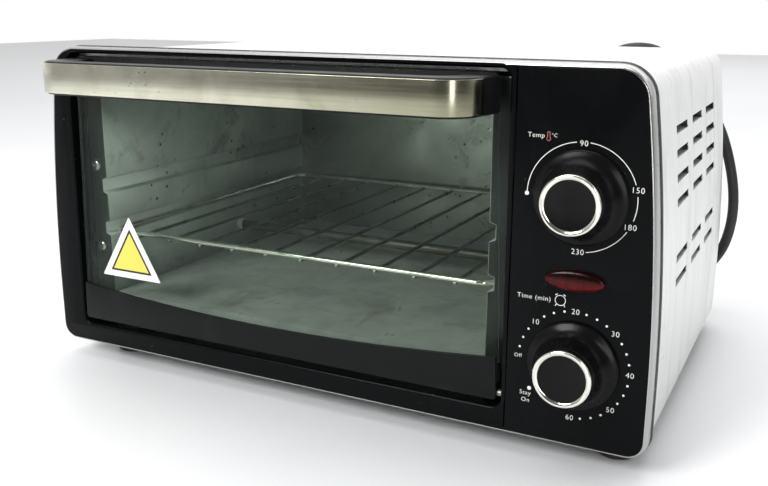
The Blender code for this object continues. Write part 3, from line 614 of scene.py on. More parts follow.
CORD_RADIUS = 0.0035
COIL_TURNS = 2
COIL_POINTS = 40
CORD_ROUTE = (
    (0.0850, 0.2718, 0.0330),
    (0.0850, 0.2830, 0.0336),
    (0.0850, 0.2950, 0.0385),
    (0.0850, 0.3010, 0.0530),
    (0.0850, 0.3000, 0.0760),
    (0.0853, 0.2920, 0.1010),
    (0.0848, 0.2790, 0.1210),
    (0.0844, 0.2660, 0.1360),
    (0.0842, 0.2575, 0.1480),
    (0.0866, 0.2550, 0.1590),
    (0.0945, 0.2547, 0.1697),
    (0.1045, 0.2547, 0.1750),
    (0.1150, 0.2547, 0.1765),
    (0.1255, 0.2547, 0.1750),
    (0.1352, 0.2547, 0.1697),
    (0.1436, 0.2555, 0.1595),
    (0.1510, 0.2592, 0.1510),
    (0.1590, 0.2640, 0.1410),
    (0.1700, 0.2685, 0.1240),
    (0.1780, 0.2700, 0.1030),
    (0.1835, 0.2700, 0.0790),
    (0.1840, 0.2710, 0.0560),
    (0.1785, 0.2740, 0.0340),
    (0.1650, 0.2790, 0.0150),
    (0.1460, 0.2840, 0.0010),
    (0.1250, 0.2860, -0.0065),
    (0.1060, 0.2840, -0.0082),
    (0.0920, 0.2798, -0.0082),
    (0.0790, 0.2778, -0.0082),
)
LEAD_ROUTE = (
    (0.0340, 0.2795, 0.0063),
    (0.0230, 0.2792, 0.0065),
    (0.0120, 0.2775, 0.0065),
    (0.0014, 0.2760, 0.0065),
)


def coil_points():
    """Two stacked turns of the lead, wound clockwise from the side next to the oven."""
    low, high = local("cord_coil")
    centre = (low + high) / 2
    radius = (high.x - low.x) / 2 - CORD_RADIUS - 0.0002
    start, end = CORD_ROUTE[-1][2], LEAD_ROUTE[0][2]
    points = []
    for k in range(COIL_TURNS * COIL_POINTS + 1):
        part = k / (COIL_TURNS * COIL_POINTS)
        angle = -math.pi / 2 - math.tau * COIL_TURNS * part
        height = start + (end - start) * part
        points.append((centre.x + radius * math.cos(angle), centre.y + radius * math.sin(angle), height))
    return points


def ribs(count, start, pitch, wide, taper, steps):
    """Ribs along a turned profile. The steps are (inward, ahead) from each rib's start."""
    points = []
    for k in range(count):
        points += [(wide - taper * k - inward, start + pitch * k + ahead) for inward, ahead in steps]
    return points


PLUG_GRIP = ((0.0, 0.0), (0.0, 0.0014), (0.0009, 0.0019), (0.0009, 0.0025))
PLUG_RELIEF = ((0.0, 0.0), (0.0, 0.0018), (0.0014, 0.0021), (0.0014, 0.0035))
GLAND_RELIEF = ((0.0, 0.0), (0.0, 0.0018), (0.0011, 0.0022), (0.0011, 0.0032))


def plug_pieces():
    """Moulded plug with a waist, grip ridges, ribbed relief and two round pins."""
    low, high = local("plug_body")
    seat = middle("plug_body")
    radius = (high.z - low.z) / 2
    face = low.x
    length = high.x - face
    profile = [
        (0.0, 0.0), (radius - 0.0028, 0.0), (radius - 0.0022, 0.0006), (radius - 0.0016, 0.0010),
        (radius - 0.0008, 0.0026), (radius - 0.0001, 0.0050),
        *ribs(6, 0.0080, 0.0030, radius, 0.0, PLUG_GRIP),
        (radius - 0.0001, 0.0275), (radius - 0.0010, 0.0300), (0.0140, 0.0350), (0.0105, 0.0385),
        (0.0082, 0.0410), *ribs(6, 0.0425, 0.0038, 0.0080, 0.00045, PLUG_RELIEF), (0.0048, length - 0.0002),
        (0.0, length)
    ]
    body = lathe("plug_moulding", profile, (face, seat.y, seat.z), (1, 0, 0), 72)
    show(body, SATIN_PLASTIC, "housing", "black_plastic", "plug_body", sharp=40)
    pins = []
    for word in ("front", "rear"):
        low, high = local(f"plug_pin_{word}")
        r = (high.z - low.z) / 2
        out = face - low.x
        shape = [(0.0, 0.0), (r * 0.55, 0.0001), (r * 0.85, 0.0005), (r, 0.0014), (r, out), (0.0, out)]
        pin = lathe(f"plug_contact_{word}", shape, (low.x, (low.y + high.y) / 2, seat.z), (1, 0, 0), 32)
        pins.append(show(pin, SCREW, "housing", "bare_steel", f"plug_pin_{word}"))
    return [body] + pins


def relief():
    """Tapered, ribbed strain relief where the lead leaves the rear panel."""
    low, high = local("strain_relief")
    centre = middle("strain_relief")
    length = high.y - low.y
    profile = [
        (0.0, 0.0), (0.0060, 0.0), (0.0060, 0.0043), (0.0094, 0.0044), (0.0095, 0.0050), (0.0095, 0.0074),
        (0.0090, 0.0080), (0.0066, 0.0084), *ribs(5, 0.0096, 0.0036, 0.0064, 0.00025, GLAND_RELIEF),
        (0.0050, length - 0.0004), (0.0047, length), (0.0, length)
    ]
    made = lathe("lead_relief", profile, (centre.x, low.y, centre.z), (0, 1, 0), 56)
    return show(made, CORD_RUBBER, "housing", "cord_jacket", "strain_relief", sharp=40)


def coil_tie(points):
    """A strap round both turns, on the coil's left side."""
    left = sorted(points)[0][0]
    turns = [p for p in points if p[0] < left + 0.0002]
    low = min(p[2] for p in turns) - CORD_RADIUS
    high = max(p[2] for p in turns) + CORD_RADIUS
    centre_y = sum(p[1] for p in turns) / len(turns)

    loops = []
    for gap, radius in ((0.0010, 0.0030), (0.0002, 0.0024)):
        side = CORD_RADIUS + gap
        loops.append(rounded(trapezium(left, side, low - gap, side, high + gap), radius, 8))
    strap = plate("cord_tie", loops, centre_y - 0.0045, centre_y + 0.0045, 0.0002)
    return show(strap, SATIN_PLASTIC, "housing", "cord_jacket", sharp=50)


def mains_lead():
    gland = relief()
    plug = plug_pieces()
    coil = coil_points()
    tie = coil_tie(coil)
    route = list(CORD_ROUTE) + coil + list(LEAD_ROUTE)
    line = smooth_line(route, 0.0035)
    cord = tube("mains_cord", line, CORD_RADIUS, resolution=5)
    show(cord, CORD_RUBBER, "housing", "cord_jacket", "power_cord", "cord_coil", "plug_lead")


# ---------------------------------------------------------------- front

OPENING = rounded(((-0.1640, 0.0110), (0.1110, 0.0110), (0.1100, 0.1770), (-0.1615, 0.1770)), 0.0050, 10)
EDGE_ROLL = 0.0015


FACE_THICKNESS = 0.0012
HALF_GAP = 0.00025


def front():
    """Black face in two panels, with a rolled door opening and the flared steel rim."""
    outline = face_outline(0.0003)
    left = clipped(outline, SPLIT - HALF_GAP, -1)
    face = plate("door_frame_face", [left, grown(OPENING, EDGE_ROLL)], 0.0, FACE_THICKNESS, 0.00022)
    bends = [math.pi / 2 * k / 8 for k in range(9)]
    roll = [
        (EDGE_ROLL + 0.0008, -0.00002),
        *((EDGE_ROLL * (1 - math.sin(a)), EDGE_ROLL * (1 - math.cos(a)) - 0.00002) for a in bends),
        (0.0, 0.0086), (0.0010, 0.0086), (0.0010, 0.0022), (EDGE_ROLL + 0.0008, 0.0010)
    ]
    show(face, ENAMEL, "housing", "black_enamel", "door_frame", sharp=50)
    show(ring_loft("door_frame_lip", OPENING, roll), ENAMEL, "housing", "black_enamel", sharp=60)

    right = clipped(outline, SPLIT + HALF_GAP, 1)
    lens = middle("indicator_lens")
    window = ellipse(lens.x, lens.z, 0.0132, 0.0040, 48)
    face = plate("control_face", [right, window], 0.0, FACE_THICKNESS, 0.00026)
    show(face, ENAMEL, "housing", "black_enamel", "control_panel", sharp=50)

    section = [
        (-0.0001, 0.0012), (-0.0001, 0.0003), (0.0001, 0.0000), (0.0004, 0.0000), (0.0008, 0.0003),
        (0.0012, 0.0009), (0.0016, 0.0025), (0.0019, 0.0045), (0.0022, 0.0068), (0.0020, 0.0072),
        (0.0020, 0.0100), (-0.0022, 0.0100), (-0.0024, 0.0102), (-0.0024, 0.0140), (-0.0034, 0.0140),
        (-0.0034, 0.0090), (0.0012, 0.0090), (0.0004, 0.0014)
    ]
    rim = ring_loft("steel_rim", face_outline(0.0), section)
    show(rim, RIM, "housing", "bare_steel", "front_rim", sharp=50)
    # Painted shade: a dark band just behind the rim, standing for the shadow line between the rim and the
    # shell.
    shadow_band = [
        (0.00205, 0.0070), (0.0023, 0.0071), (0.0025, 0.0084), (0.00258, 0.0100), (0.0025, 0.0108),
        (0.0018, 0.0111), (-0.0012, 0.0112), (-0.0020, 0.0108), (-0.0020, 0.01005), (0.00205, 0.01005)
    ]
    show(ring_loft("rim_seal", face_outline(0.0), shadow_band), SATIN_PLASTIC, "housing", "black_plastic")


def ink(name, loops, material=WHITE_INK):
    """A flat print on the control face."""
    return show(plate(name, loops, -0.00005, 0.00003, 0.00001), material, "housing", "black_enamel")


def band(centre, radius, width, start, end):
    """A curved stroke, with its angles in degrees from +X."""
    steps = max(6, int(abs(end - start) / 3))
    outer = arc((centre.x, centre.z), radius + width / 2, start, end, steps)
    return outer + arc((centre.x, centre.z), radius - width / 2, end, start, steps)


def words(name, text, x, z, height):
    """Lettering centred on a point of the control face."""
    data = bpy.data.curves.new(name, "FONT")
    data.body = text
    data.size = height / 0.70
    data.align_x = "CENTER"
    data.align_y = "CENTER"
    data.extrude = 0.00004
    data.offset = -0.010 * data.size
    data.space_character = 1.12
    data.resolution_u = 4
    shape = bmesh.new()
    absorb(shape, bpy.data.objects.new(name, data))
    bmesh.ops.transform(shape, matrix=Matrix.Translation((x, -0.00002, z)) @ UPRIGHT, verts=shape.verts)
    return show(mesh_of(name, shape, recalc=False), WHITE_INK, "housing", "black_enamel")


def around(centre, wide, high, degrees):
    """The point on a dial at an angle from +X."""
    angle = math.radians(degrees)
    return centre.x + wide * math.cos(angle), centre.z + high * math.sin(angle)


def markings():
    """Dial numbers, arcs and dots."""
    dial = middle("temperature_knob")
    radius = 0.0252
    spans = ((179, 97.5), (83.5, 18.5), (6.5, -19), (-32, -81.5))
    ink("temperature_arc", [band(dial, radius, 0.00034, *span) for span in spans])
    ink("temperature_start_dot", [circle(dial.x - radius, dial.z, 0.0010, 28)])
    for text, x, z in (
        ("90", 0.1453, 0.1455), ("150", 0.1702, 0.1266), ("180", 0.1679, 0.1097), ("230", 0.1452, 0.0958)
    ):
        words(f"temperature_number_{text}", text, x, z, 0.0026)
    words("temperature_legend", "Temp", 0.1233, 0.1479, 0.0022)
    words("temperature_unit", "°C", 0.1318, 0.1482, 0.0017)
    bulb = [arc((0.1291, 0.1466), 0.0010, 130, 410, 16) + [(0.12975, 0.1498), (0.12845, 0.1498)]]
    inner = [arc((0.1291, 0.1466), 0.00078, 124, 416, 16) + [(0.12955, 0.1496), (0.12865, 0.1496)]]
    ink("temperature_mark", bulb + inner, RED_INK)

    timer = middle("timer_knob")
    between = [180 - 11.25 * k for k in range(1, 24) if k % 4]
    ink("timer_dots", [circle(*around(timer, 0.0266, 0.0266, angle), 0.00056, 16) for angle in between])
    for k in range(1, 7):
        place = around(timer, 0.0268, 0.0266, 180 - 45 * k)
        words(f"timer_number_{10 * k}", str(10 * k), *place, 0.0026)
    ink("timer_hold_dot", [circle(*around(timer, 0.0256, 0.0256, 217), 0.0010, 28)])
    words("timer_off", "Off", 0.1192, 0.0409, 0.0019)
    words("timer_stay", "Stay", 0.1236, 0.0222, 0.0022)
    words("timer_on", "On", 0.1238, 0.0185, 0.0022)
    words("timer_legend", "Time (min)", 0.1258, 0.0714, 0.0023)
    face = Vector((0.1385, 0.0, 0.0716))
    ink("timer_clock_ring", [circle(face.x, face.z, 0.0026, 32), circle(face.x, face.z, 0.00232, 32)])
    ear = ((0.0013, 0.0029), (0.0023, 0.0022), (0.0026, 0.0025), (0.0015, 0.0032))
    leg = ((0.0016, -0.0021), (0.0019, -0.0018), (0.0025, -0.0029), (0.0022, -0.0030))
    strokes = []
    for side in (-1, 1):
        for part, order in ((ear, side), (leg, -side)):
            strokes.append([(face.x + side * dx, face.z + dz) for dx, dz in part][::order])
    ink("timer_clock_ears", strokes)


def lens():
    low, high = local("indicator_lens")
    centre = (low + high) / 2
    wide = (high.x - low.x) / 2
    squash = (high.z - low.z) / (high.x - low.x)
    depth = high.y - low.y
    dome = (
        (1.0, 0.0), (0.985, 0.30), (0.95, 0.50), (0.86, 0.68), (0.70, 0.82), (0.45, 0.94), (0.2, 0.99),
        (0.0, 1.0)
    )
    profile = [(wide * r, depth * h) for r, h in dome]
    shape = lathe("pilot_lens", profile, (0, 0, 0), (0, 0, 1), 72, squash)
    shape.data.transform(Matrix.Translation((centre.x, high.y, centre.z)) @ UPRIGHT)
    show(shape, LENS, "housing", "red_lens", "indicator_lens")
    ring = ellipse(centre.x, centre.z, wide * 1.03, wide * squash * 1.09, 64)
    inner = ellipse(centre.x, centre.z, wide * 1.002, wide * squash * 1.01, 64)
    bezel = plate("pilot_lens_bezel", [ring, inner], -0.0005, 0.0001, 0.0001)
    show(bezel, GLOSS_PLASTIC, "housing", "black_plastic")


KNOB_FLARE = (
    (0.0, 0.0009), (0.0215, 0.0009), (0.0220, 0.0013), (0.0219, 0.0018), (0.0210, 0.0023), (0.0196, 0.0029),
    (0.0182, 0.0038), (0.0169, 0.0050), (0.0158, 0.0066), (0.0149, 0.0086), (0.0143, 0.0108),
    (0.0139, 0.0130), (0.0137, 0.0146), (0.0133, 0.0149), (0.0121, 0.0149), (0.0120, 0.0182),
    (0.0117, 0.0185), (0.0110, 0.0184), (0.0080, 0.0180), (0.0040, 0.0178), (0.0, 0.0177)
)
KNOB_RING = (
    (0.0121, 0.0152), (0.0136, 0.0152), (0.0138, 0.0155), (0.0138, 0.0181), (0.01368, 0.0188),
    (0.0134, 0.0192), (0.0129, 0.0193), (0.0123, 0.01915), (0.0117, 0.0189), (0.0114, 0.01865),
    (0.0115, 0.01855), (0.0121, 0.0186), (0.0121, 0.0152)
)


def knob(prefix, body):
    """Flared knob, chrome ring, dished cap and a pointer line."""
    centre = middle(f"{prefix}_knob")
    centre.y = 0.0
    moulding = lathe(f"{prefix}_knob_moulding", KNOB_FLARE, centre, (0, -1, 0), 96)
    show(moulding, GLOSS_PLASTIC, body, "black_plastic", f"{prefix}_knob", sharp=50)
    ring = lathe(f"{prefix}_chrome_ring", KNOB_RING, centre, (0, -1, 0), 96)
    show(ring, CHROME, body, "chrome", f"{prefix}_knob_ring", sharp=60)
    across = (centre.x - 0.0151, centre.x - 0.0136)
    span = (across, (-0.0142, -0.0088), (centre.z - 0.0003, centre.z + 0.0003))
    show(boxes(f"{prefix}_pointer", [span], 0.0001), WHITE_INK, body, "black_plastic")


# ---------------------------------------------------------------- shell

SHELL_INSET = 0.0016
SLOT_CENTRES = (0.0880, 0.1380, 0.1875)
SLOT_LENGTH = 0.0345
SLOT_ROWS = (0.0658, 0.0786, 0.1078, 0.1202, 0.1327, 0.1447)
SLOT_HEIGHT = 0.0042
SHEET = 0.0008


def side_x(z):
    """Half the shell's width at a height on its bowed side."""
    if z <= BOW_START:
        return HALF_WIDTH - SHELL_INSET
    bow = BOW_RADIUS - SHELL_INSET
    return HALF_WIDTH - BOW_RADIUS + math.sqrt(bow ** 2 - (z - BOW_START) ** 2)


def shell():
    """Wrapped steel shell: bowed sides, round shoulders, vent slots with inward lips."""
    low, high = local("outer_shell")
    corner = [p for p in bowed_side(SHELL_INSET, 0.0004, 4) if p[1] > 0.150]
    slot_edges = [row + side * SLOT_HEIGHT / 2 for row in SLOT_ROWS for side in (-1, 1)]
    heights = [0.0004, 0.012, 0.030, 0.044, 0.056, 0.093, 0.154] + slot_edges
    right = [(side_x(z), z) for z in sorted(heights)] + [p for p in corner if p[1] > 0.158]
    line = right + [(-x, z) for x, z in reversed(right)]
    slot_ends = [c + side * SLOT_LENGTH / 2 for c in SLOT_CENTRES for side in (-1, 1)]
    depths = sorted([low.y, low.y + 0.004, high.y - 0.004, high.y] + slot_ends)

    def slotted(z, y):
        in_row = any(abs(z - row) < SLOT_HEIGHT / 2 - 1e-5 for row in SLOT_ROWS)
        return in_row and any(abs(y - c) < SLOT_LENGTH / 2 - 1e-5 for c in SLOT_CENTRES)

    shape = bmesh.new()
    rows = [[shape.verts.new((x, y, z)) for x, z in line] for y in depths]
    for row, following, y, y_next in zip(rows, rows[1:], depths, depths[1:]):
        for i in range(len(line) - 1):
            flat_side = abs(line[i][0]) > 0.160 and line[i][0] * line[i + 1][0] > 0
            if flat_side and slotted((line[i][1] + line[i + 1][1]) / 2, (y + y_next) / 2):
                continue
            shape.faces.new((row[i], row[i + 1], following[i + 1], following[i]))
    skin = mesh_of("shell_skin", shape, recalc=False)
    thicken(skin, SHEET, False)
    edge = skin.modifiers.new("edge", "BEVEL")
    edge.width = 0.00022
    edge.segments = 2
    edge.angle_limit = math.radians(60)
    show(skin, SHELL, "housing", "shell_steel", "outer_shell", sharp=50)

    lips = []
    for side in (-1, 1):
        for row in SLOT_ROWS:
            for centre in SLOT_CENTRES:
                base = row - SLOT_HEIGHT / 2
                outer = side_x(base) - 0.0003
                x = sorted((side * outer, side * (outer - 0.0052)))
                y = (centre - SLOT_LENGTH / 2, centre + SLOT_LENGTH / 2)
                lips.append((x, y, (base - 0.0006, base)))
    show(boxes("shell_slot_lips", lips, 0.00012), SHELL, "housing", "shell_steel")


REAR_INSET = 0.0024
REAR_SLOT_ROWS = 7
REAR_SLOT_COLUMNS = 4
REAR_SLOT_START = (-0.140, 0.070)
REAR_SLOT_PITCH = (0.030, 0.010)
REAR_SLOT_LENGTH = 0.022
REAR_SLOT_HEIGHT = 0.004


def rear():
    """Slotted rear panel and cord spacers."""
    low, high = local("rear_panel")
    slots = []
    for row in range(REAR_SLOT_ROWS):
        for column in range(REAR_SLOT_COLUMNS):
            x = REAR_SLOT_START[0] + REAR_SLOT_PITCH[0] * column
            z = REAR_SLOT_START[1] + REAR_SLOT_PITCH[1] * row
            right, top = x + REAR_SLOT_LENGTH, z + REAR_SLOT_HEIGHT
            slots.append(rounded(((x, z), (right, z), (right, top), (x, top)), 0.0018, 4))
    gland = middle("strain_relief")
    holes = slots + [circle(gland.x, gland.z, 0.0064, 32)]
    cover = plate("rear_cover", [face_outline(REAR_INSET)] + holes, low.y, high.y, 0.00018)
    cover.modifiers.new("flat_faces", "WEIGHTED_NORMAL").keep_sharp = True
    show(cover, OUTER_ZINC, "housing", "galvanised_steel", "rear_panel")
    for word in ("left", "right"):
        low, high = local(f"rear_spacer_{word}")
        x, half = (low.x + high.x) / 2, (high.x - low.x) / 2
        spring = high.z - half
        block = arch(x, spring, half, low.z, 40)
        front_face = local("outer_shell")[1].y + 0.0004
        items = [plate(f"cord_spacer_{word}", [block], front_face, high.y, 0.0010)]
        for k in (1, 3, 5):
            radius = half - 0.0038 * k
            rib = arch(x, spring, radius, low.z + 0.002, 30)
            rib += arch(x, spring, radius - 0.0012, low.z + 0.002, 30)[::-1]
            items.append(plate("rib", [rib], high.y - 0.0004, high.y, 0.00015))
        spacer = merged(f"cord_spacer_{word}", items)
        show(spacer, SATIN_PLASTIC, "housing", "black_plastic", f"rear_spacer_{word}")


def screw(node, towards, body, radius):
    """Pan-head screw with a cross recess."""
    name = node.replace("screw", "screw_head")
    low, high = local(node)
    centre = (low + high) / 2
    front = low.y if towards < 0 else high.y
    head = 0.0017
    deep = (high.y - low.y) - head
    profile = [
        (0.0, -head - deep), (radius * 0.42, -head - deep), (radius * 0.42, -head), (radius, -head),
        (radius, -head * 0.62), (radius * 0.86, -head * 0.26), (radius * 0.60, -head * 0.07),
        (radius * 0.3, 0.0), (0.0, 0.0)
    ]
    cut = lathe(name, profile, Vector((centre.x, front, centre.z)), (0, towards, 0), 40)
    arm, wide = radius * 0.56, radius * 0.13
    y = sorted((front + towards * 0.001, front - towards * head * 0.6))
    for across, up in ((arm, wide), (wide, arm)):
        bar = ((centre.x - across, centre.x + across), y, (centre.z - up, centre.z + up))
        cut = carved(cut, boxes("recess", [bar]))
    cut.name = name
    show(cut, SCREW, body, "bare_steel", node, sharp=40)


def screws():
    for level in ("upper", "lower"):
        screw(f"flange_screw_{level}", -1, "housing", 0.0033)
        for word in ("left", "right"):
            screw(f"rear_screw_{level}_{word}", 1, "housing", 0.0033)
    for word in ("left", "right"):
        screw(f"handle_screw_{word}", 1, "door", 0.0038)


def feet():
    """Turned rubber feet with a bead round the sole."""
    for node in ("foot_front_left", "foot_front_right", "foot_rear_left", "foot_rear_right"):
        low, high = local(node)
        centre = (low + high) / 2
        tall = high.z - low.z
        profile = [
            (0.0, 0.0), (0.0090, 0.0), (0.0096, 0.0002), (0.0101, 0.0008), (0.0103, 0.0016),
            (0.0104, 0.0022), (0.0107, 0.0030), (0.0112, 0.0060), (0.0117, 0.0080), (0.0119, 0.0084),
            (0.0119, tall - 0.0006), (0.0116, tall), (0.0, tall)
        ]
        item = lathe(node + "_rubber", profile, (centre.x, centre.y, low.z), (0, 0, 1), 64)
        show(item, FOOT_RUBBER, "housing", "rubber", node, sharp=45)


# ---------------------------------------------------------------- chamber

GROOVE_DEPTH = 0.0034
GROOVES = ((0.0660, 0.0740), (0.0920, 0.1010))


def groove_line(side, face):
    """The chamber wall's section, with two pressed rack grooves with soft shoulders."""
    low, high = local("cavity_left_wall")
    points = [(face, low.z + 0.0004)]
    for bottom, top in GROOVES:
        for start, sign in ((bottom - 0.001, -1), (top - 0.0008, 1)):
            for part in (k / 8 for k in range(9)):
                lift = GROOVE_DEPTH * (1 + sign * math.cos(math.pi * part)) / 2
                points.append((face + side * lift, start + 0.0018 * part))
    points.append((face, high.z - 0.0004))
    return points


def chamber():
    """Side walls with pressed grooves, and their front flanges."""
    for side, word in ((-1, "left"), (1, "right")):
        node = f"cavity_{word}_wall"
        low, high = local(node)
        flange = low.x if side < 0 else high.x
        face = -0.0270 + side * 0.1243
        line = groove_line(side, face)
        wall = folded(f"chamber_wall_{word}", line, low.y + 0.0002, high.y, 0.0006)
        show(wall, ZINC, "housing", "galvanised_steel", node, sharp=40)
        outline = line + [(flange, line[-1][1]), (flange, line[0][1])]
        outline = outline if side > 0 else outline[::-1]
        piece = plate(f"chamber_flange_{word}", [outline], low.y, low.y + 0.0008, 0.0002)
        # The flanges' near-black zinc is painted shade on their forward faces.
        show(piece, SHADED_FLANGE, "housing", "galvanised_steel", sharp=50)


PLAIN_NODES = (
    (BACK, "cavity_back_wall"), (ZINC, "cavity_ceiling"), (FLOOR, "cavity_floor"), (ENAMEL, "front_frame"),
    (OUTER_ZINC, "base_plate"), (SATIN_PLASTIC, "thermostat_body timer_body"), (LENS, "indicator_lamp"),
    (SCREW, "timer_bell temperature_shaft timer_shaft"), (CERAMIC, "terminal_block"),
    (CERAMIC, "upper_heater_left_bush upper_heater_right_bush"),
    (CERAMIC, "lower_heater_left_bush lower_heater_right_bush")
)


def plain_nodes():
    """CAD nodes that keep their shape and get a detailed material."""
    for material, nodes in PLAIN_NODES:
        for node in nodes.split():
            for slot in bpy.data.objects[node].material_slots:
                slot.link = "OBJECT"
                slot.material = material


RACK_WIRE = 0.0016
RACK_BARS = 10
RACK_PITCH = 0.0233
RACK_BAR = 0.0011
WELD = ((0.0, -0.0012), (0.0010, -0.0009), (0.0014, 0.0), (0.0010, 0.0009), (0.0, 0.0012))


def rack():
    """Bright wire rack: a round-cornered frame, cross wires and their weld beads."""
    low, high = local("wire_rack")
    x0, x1 = low.x + RACK_WIRE, high.x - RACK_WIRE
    y0, y1 = 0.0185, 0.2350
    z = high.z - RACK_WIRE
    outline = rounded(((x0, y0), (x1, y0), (x1, y1), (x0, y1)), 0.009, 8)
    items = [tube("rack", [(x, y, z) for x, y in outline], RACK_WIRE, True)]
    bars = []
    for k in range(RACK_BARS):
        x = (x0 + x1) / 2 + (k - (RACK_BARS - 1) / 2) * RACK_PITCH
        ends = [(x, y, z - 0.0021) for y in (y0 - 0.0009, y1 + 0.0009)]
        bars.append(tube("bar", ends, RACK_BAR))
        items += [lathe("weld", WELD, (x, y, z - 0.0014), (0, 0, 1), 12) for y in (y0, y1)]
    show(merged("rack_frame", items), WIRE, "rack", "chrome", "wire_rack", sharp=60)
    show(merged("rack_bars", bars), DULL_WIRE, "rack", "chrome", sharp=60)


def rod(node):
    """The left end, radius and length of a rod that lies along x."""
    low, high = local(node)
    centre = (low + high) / 2
    return (low.x, centre.y, centre.z), (high.z - low.z) / 2, high.x - low.x


def heaters():
    for name in ("upper_heater", "lower_heater"):
        seat, r, length = rod(name)
        profile = [
            (0.0, 0.0), (r * 0.5, 0.0), (r * 0.5, 0.006), (r * 0.9, 0.0065), (r, 0.0075),
            (r, length - 0.0075), (r * 0.9, length - 0.0065), (r * 0.5, length - 0.006), (r * 0.5, length),
            (0.0, length)
        ]
        sheath = lathe(f"{name}_sheath", profile, seat, (1, 0, 0), 32)
        show(sheath, SHEATH, "housing", "bare_steel", name)


# ---------------------------------------------------------------- door


def handle_line(inset, front, left, right, back):
    bend = 0.0180 - inset
    left_centre = (left + 0.0210, front + inset + bend)
    right_centre = (right - 0.0210, front + inset + bend)
    points = [(left + inset, back)] + arc(left_centre, bend, 180, 270, 24)
    return points + arc(right_centre, bend, 270, 360, 24) + [(right - inset, back)]


PANE_LOW_HALF, PANE_HIGH_HALF = 0.13512, 0.12960
RAIL_TOP = 0.0304
RAIL_SMILE = 0.0071
RAIL_LEAN = 0.0362


def door():
    """Tinted pane, lower rail with its smile-shaped top edge, sticker, handle and pins."""
    low, high = local("door_glass")
    centre = (low.x + high.x) / 2
    corners = trapezium(centre, PANE_LOW_HALF, low.z, PANE_HIGH_HALF, high.z)
    pane = plate("door_pane", [rounded(corners, 0.003, 8)], low.y, high.y, 0.0006)
    show(pane, PANE, "door", "glass", "door_glass", sharp=50)
    corners = trapezium(centre, PANE_HIGH_HALF + 0.0004, 0.1590, PANE_HIGH_HALF - 0.001, high.z - 0.0006)
    header = rounded(corners, 0.002, 5)
    band = plate("door_header_print", [header], high.y - 0.0001, high.y + 0.00012, 0.00003)
    show(band, DARK_INK, "door", "black_enamel")

    low, high = local("door_rail")
    half = (high.x - low.x) / 2
    smile = []
    for k in range(49):
        across = 1 - k / 24
        height = RAIL_TOP + RAIL_SMILE * across ** 2
        smile.append((centre + across * (half - (height - low.z) * RAIL_LEAN), height))
    outline = rounded_lower(centre, half, low.z) + smile
    cover = plate("door_rail_cover", [outline], low.y, 0.0017, 0.0005)
    show(cover, RAIL, "door", "black_enamel", "door_rail", sharp=60)
    across = (centre - half + 0.0002, centre + half - 0.0002)
    foot = boxes("door_rail_foot", [(across, (low.y + 0.0006, high.y), (low.z + 0.0002, 0.0214))], 0.0006)
    show(foot, RAIL, "door", "black_enamel")
    for word in ("left", "right"):
        seat, r, length = rod(f"hinge_pin_{word}")
        profile = [(0.0, 0.0), (r - 0.0003, 0.0), (r, 0.0003)]
        profile += [(r, length - 0.0003), (r - 0.0003, length), (0.0, length)]
        pin = lathe(f"door_pivot_{word}", profile, seat, (1, 0, 0), 28)
        show(pin, DULL_WIRE, "door", "bare_steel", f"hinge_pin_{word}")
    sticker()
    handle()


def rounded_lower(centre, half, z):
    left = arc((centre - half + 0.002, z + 0.002), 0.002, 180, 270, 6)
    right = arc((centre + half - 0.002, z + 0.002), 0.002, 270, 360, 6)
    return left + right


def sticker():
    """A plain caution triangle in three printed layers, with no symbol."""
    low, high = local("caution_sticker")
    corners = [Vector((low.x, low.z)), Vector((high.x, low.z)), Vector((-0.1238, high.z))]
    sides = [(corners[(i + 1) % 3] - corners[(i + 2) % 3]).length for i in range(3)]
    heart = sum((corner * side for corner, side in zip(corners, sides)), Vector((0, 0))) / sum(sides)

    def shrunk(scale, radius):
        return rounded([tuple(heart + (c - heart) * scale) for c in corners], radius, 4)

    paper = plate("sticker_paper", [shrunk(0.995, 0.0005)], high.y - 0.00020, high.y + 0.00018, 0.00004)
    show(paper, WHITE_INK, "door", "printed_label", "caution_sticker")
    loops = [shrunk(0.705, 0.0004), shrunk(0.606, 0.0002)]
    line = plate("sticker_border", loops, high.y - 0.00024, high.y - 0.00016, 0.00001)
    show(line, DARK_INK, "door", "printed_label")
    field = plate("sticker_field", [shrunk(0.608, 0.0002)], high.y - 0.00023, high.y - 0.00016, 0.00001)
    show(field, YELLOW_FILM, "door", "printed_label")


def handle():
    low, high = local("handle_body")
    front = local("handle_strip")[0].y
    left, right = low.x - 0.0011, high.x + 0.0011
    back = high.y
    outer = handle_line(0.0011, front, left, right, back)
    inner_front = front + 0.0130
    inside = [(0.0880, back)] + arc((0.0760, inner_front + 0.012), 0.012, 0, -90, 16)
    inside += arc((-0.1300, inner_front + 0.012), 0.012, -90, -180, 16) + [(-0.1420, back)]
    grip = plate("handle_grip", [outer + inside], low.z, high.z, 0.0014, level=True)
    show(grip, HANDLE_PLASTIC, "door", "black_plastic", "handle_body", sharp=50)
    low, high = local("handle_strip")
    outer = handle_line(0.0, front, left, right, back)[1:-1]
    inner = handle_line(0.0008, front, left, right, back)[1:-1]
    strip = plate("handle_steel_strip", [outer + inner[::-1]], low.z, high.z, 0.0002, level=True)
    show(strip, STRIP, "door", "bare_steel", "handle_strip", sharp=50)


# ---------------------------------------------------------------- studio


LIGHTS = (
    ("overhead", (-0.10, 0.05, 1.40), (0.0, -0.05, 0.0), 1.3, 1.1, 12),
    ("right_side", (1.20, 0.35, 0.75), (0.1, 0.0, 0.1), 0.8, 0.8, 1.8),
    ("back_wash", (0.0, 2.2, 1.6), (0.0, 2.2, 0.0), 3.4, 1.8, 20),
    ("right_front", (0.78, -1.00, 0.34), (0.08, 0.0, 0.16), 0.22, 0.66, 3.2),
    ("front_left", (-0.45, -1.20, 0.90), (-0.05, 0.0, 0.08), 0.6, 0.5, 17)
)
CAMERA_PLACE = (0.2460, -0.3946, 0.2046)
CAMERA_LENS = 42.38
CAMERA_PITCH, CAMERA_YAW, CAMERA_ROLL = (math.radians(a) for a in (-14.77, 26.84, 0.2))


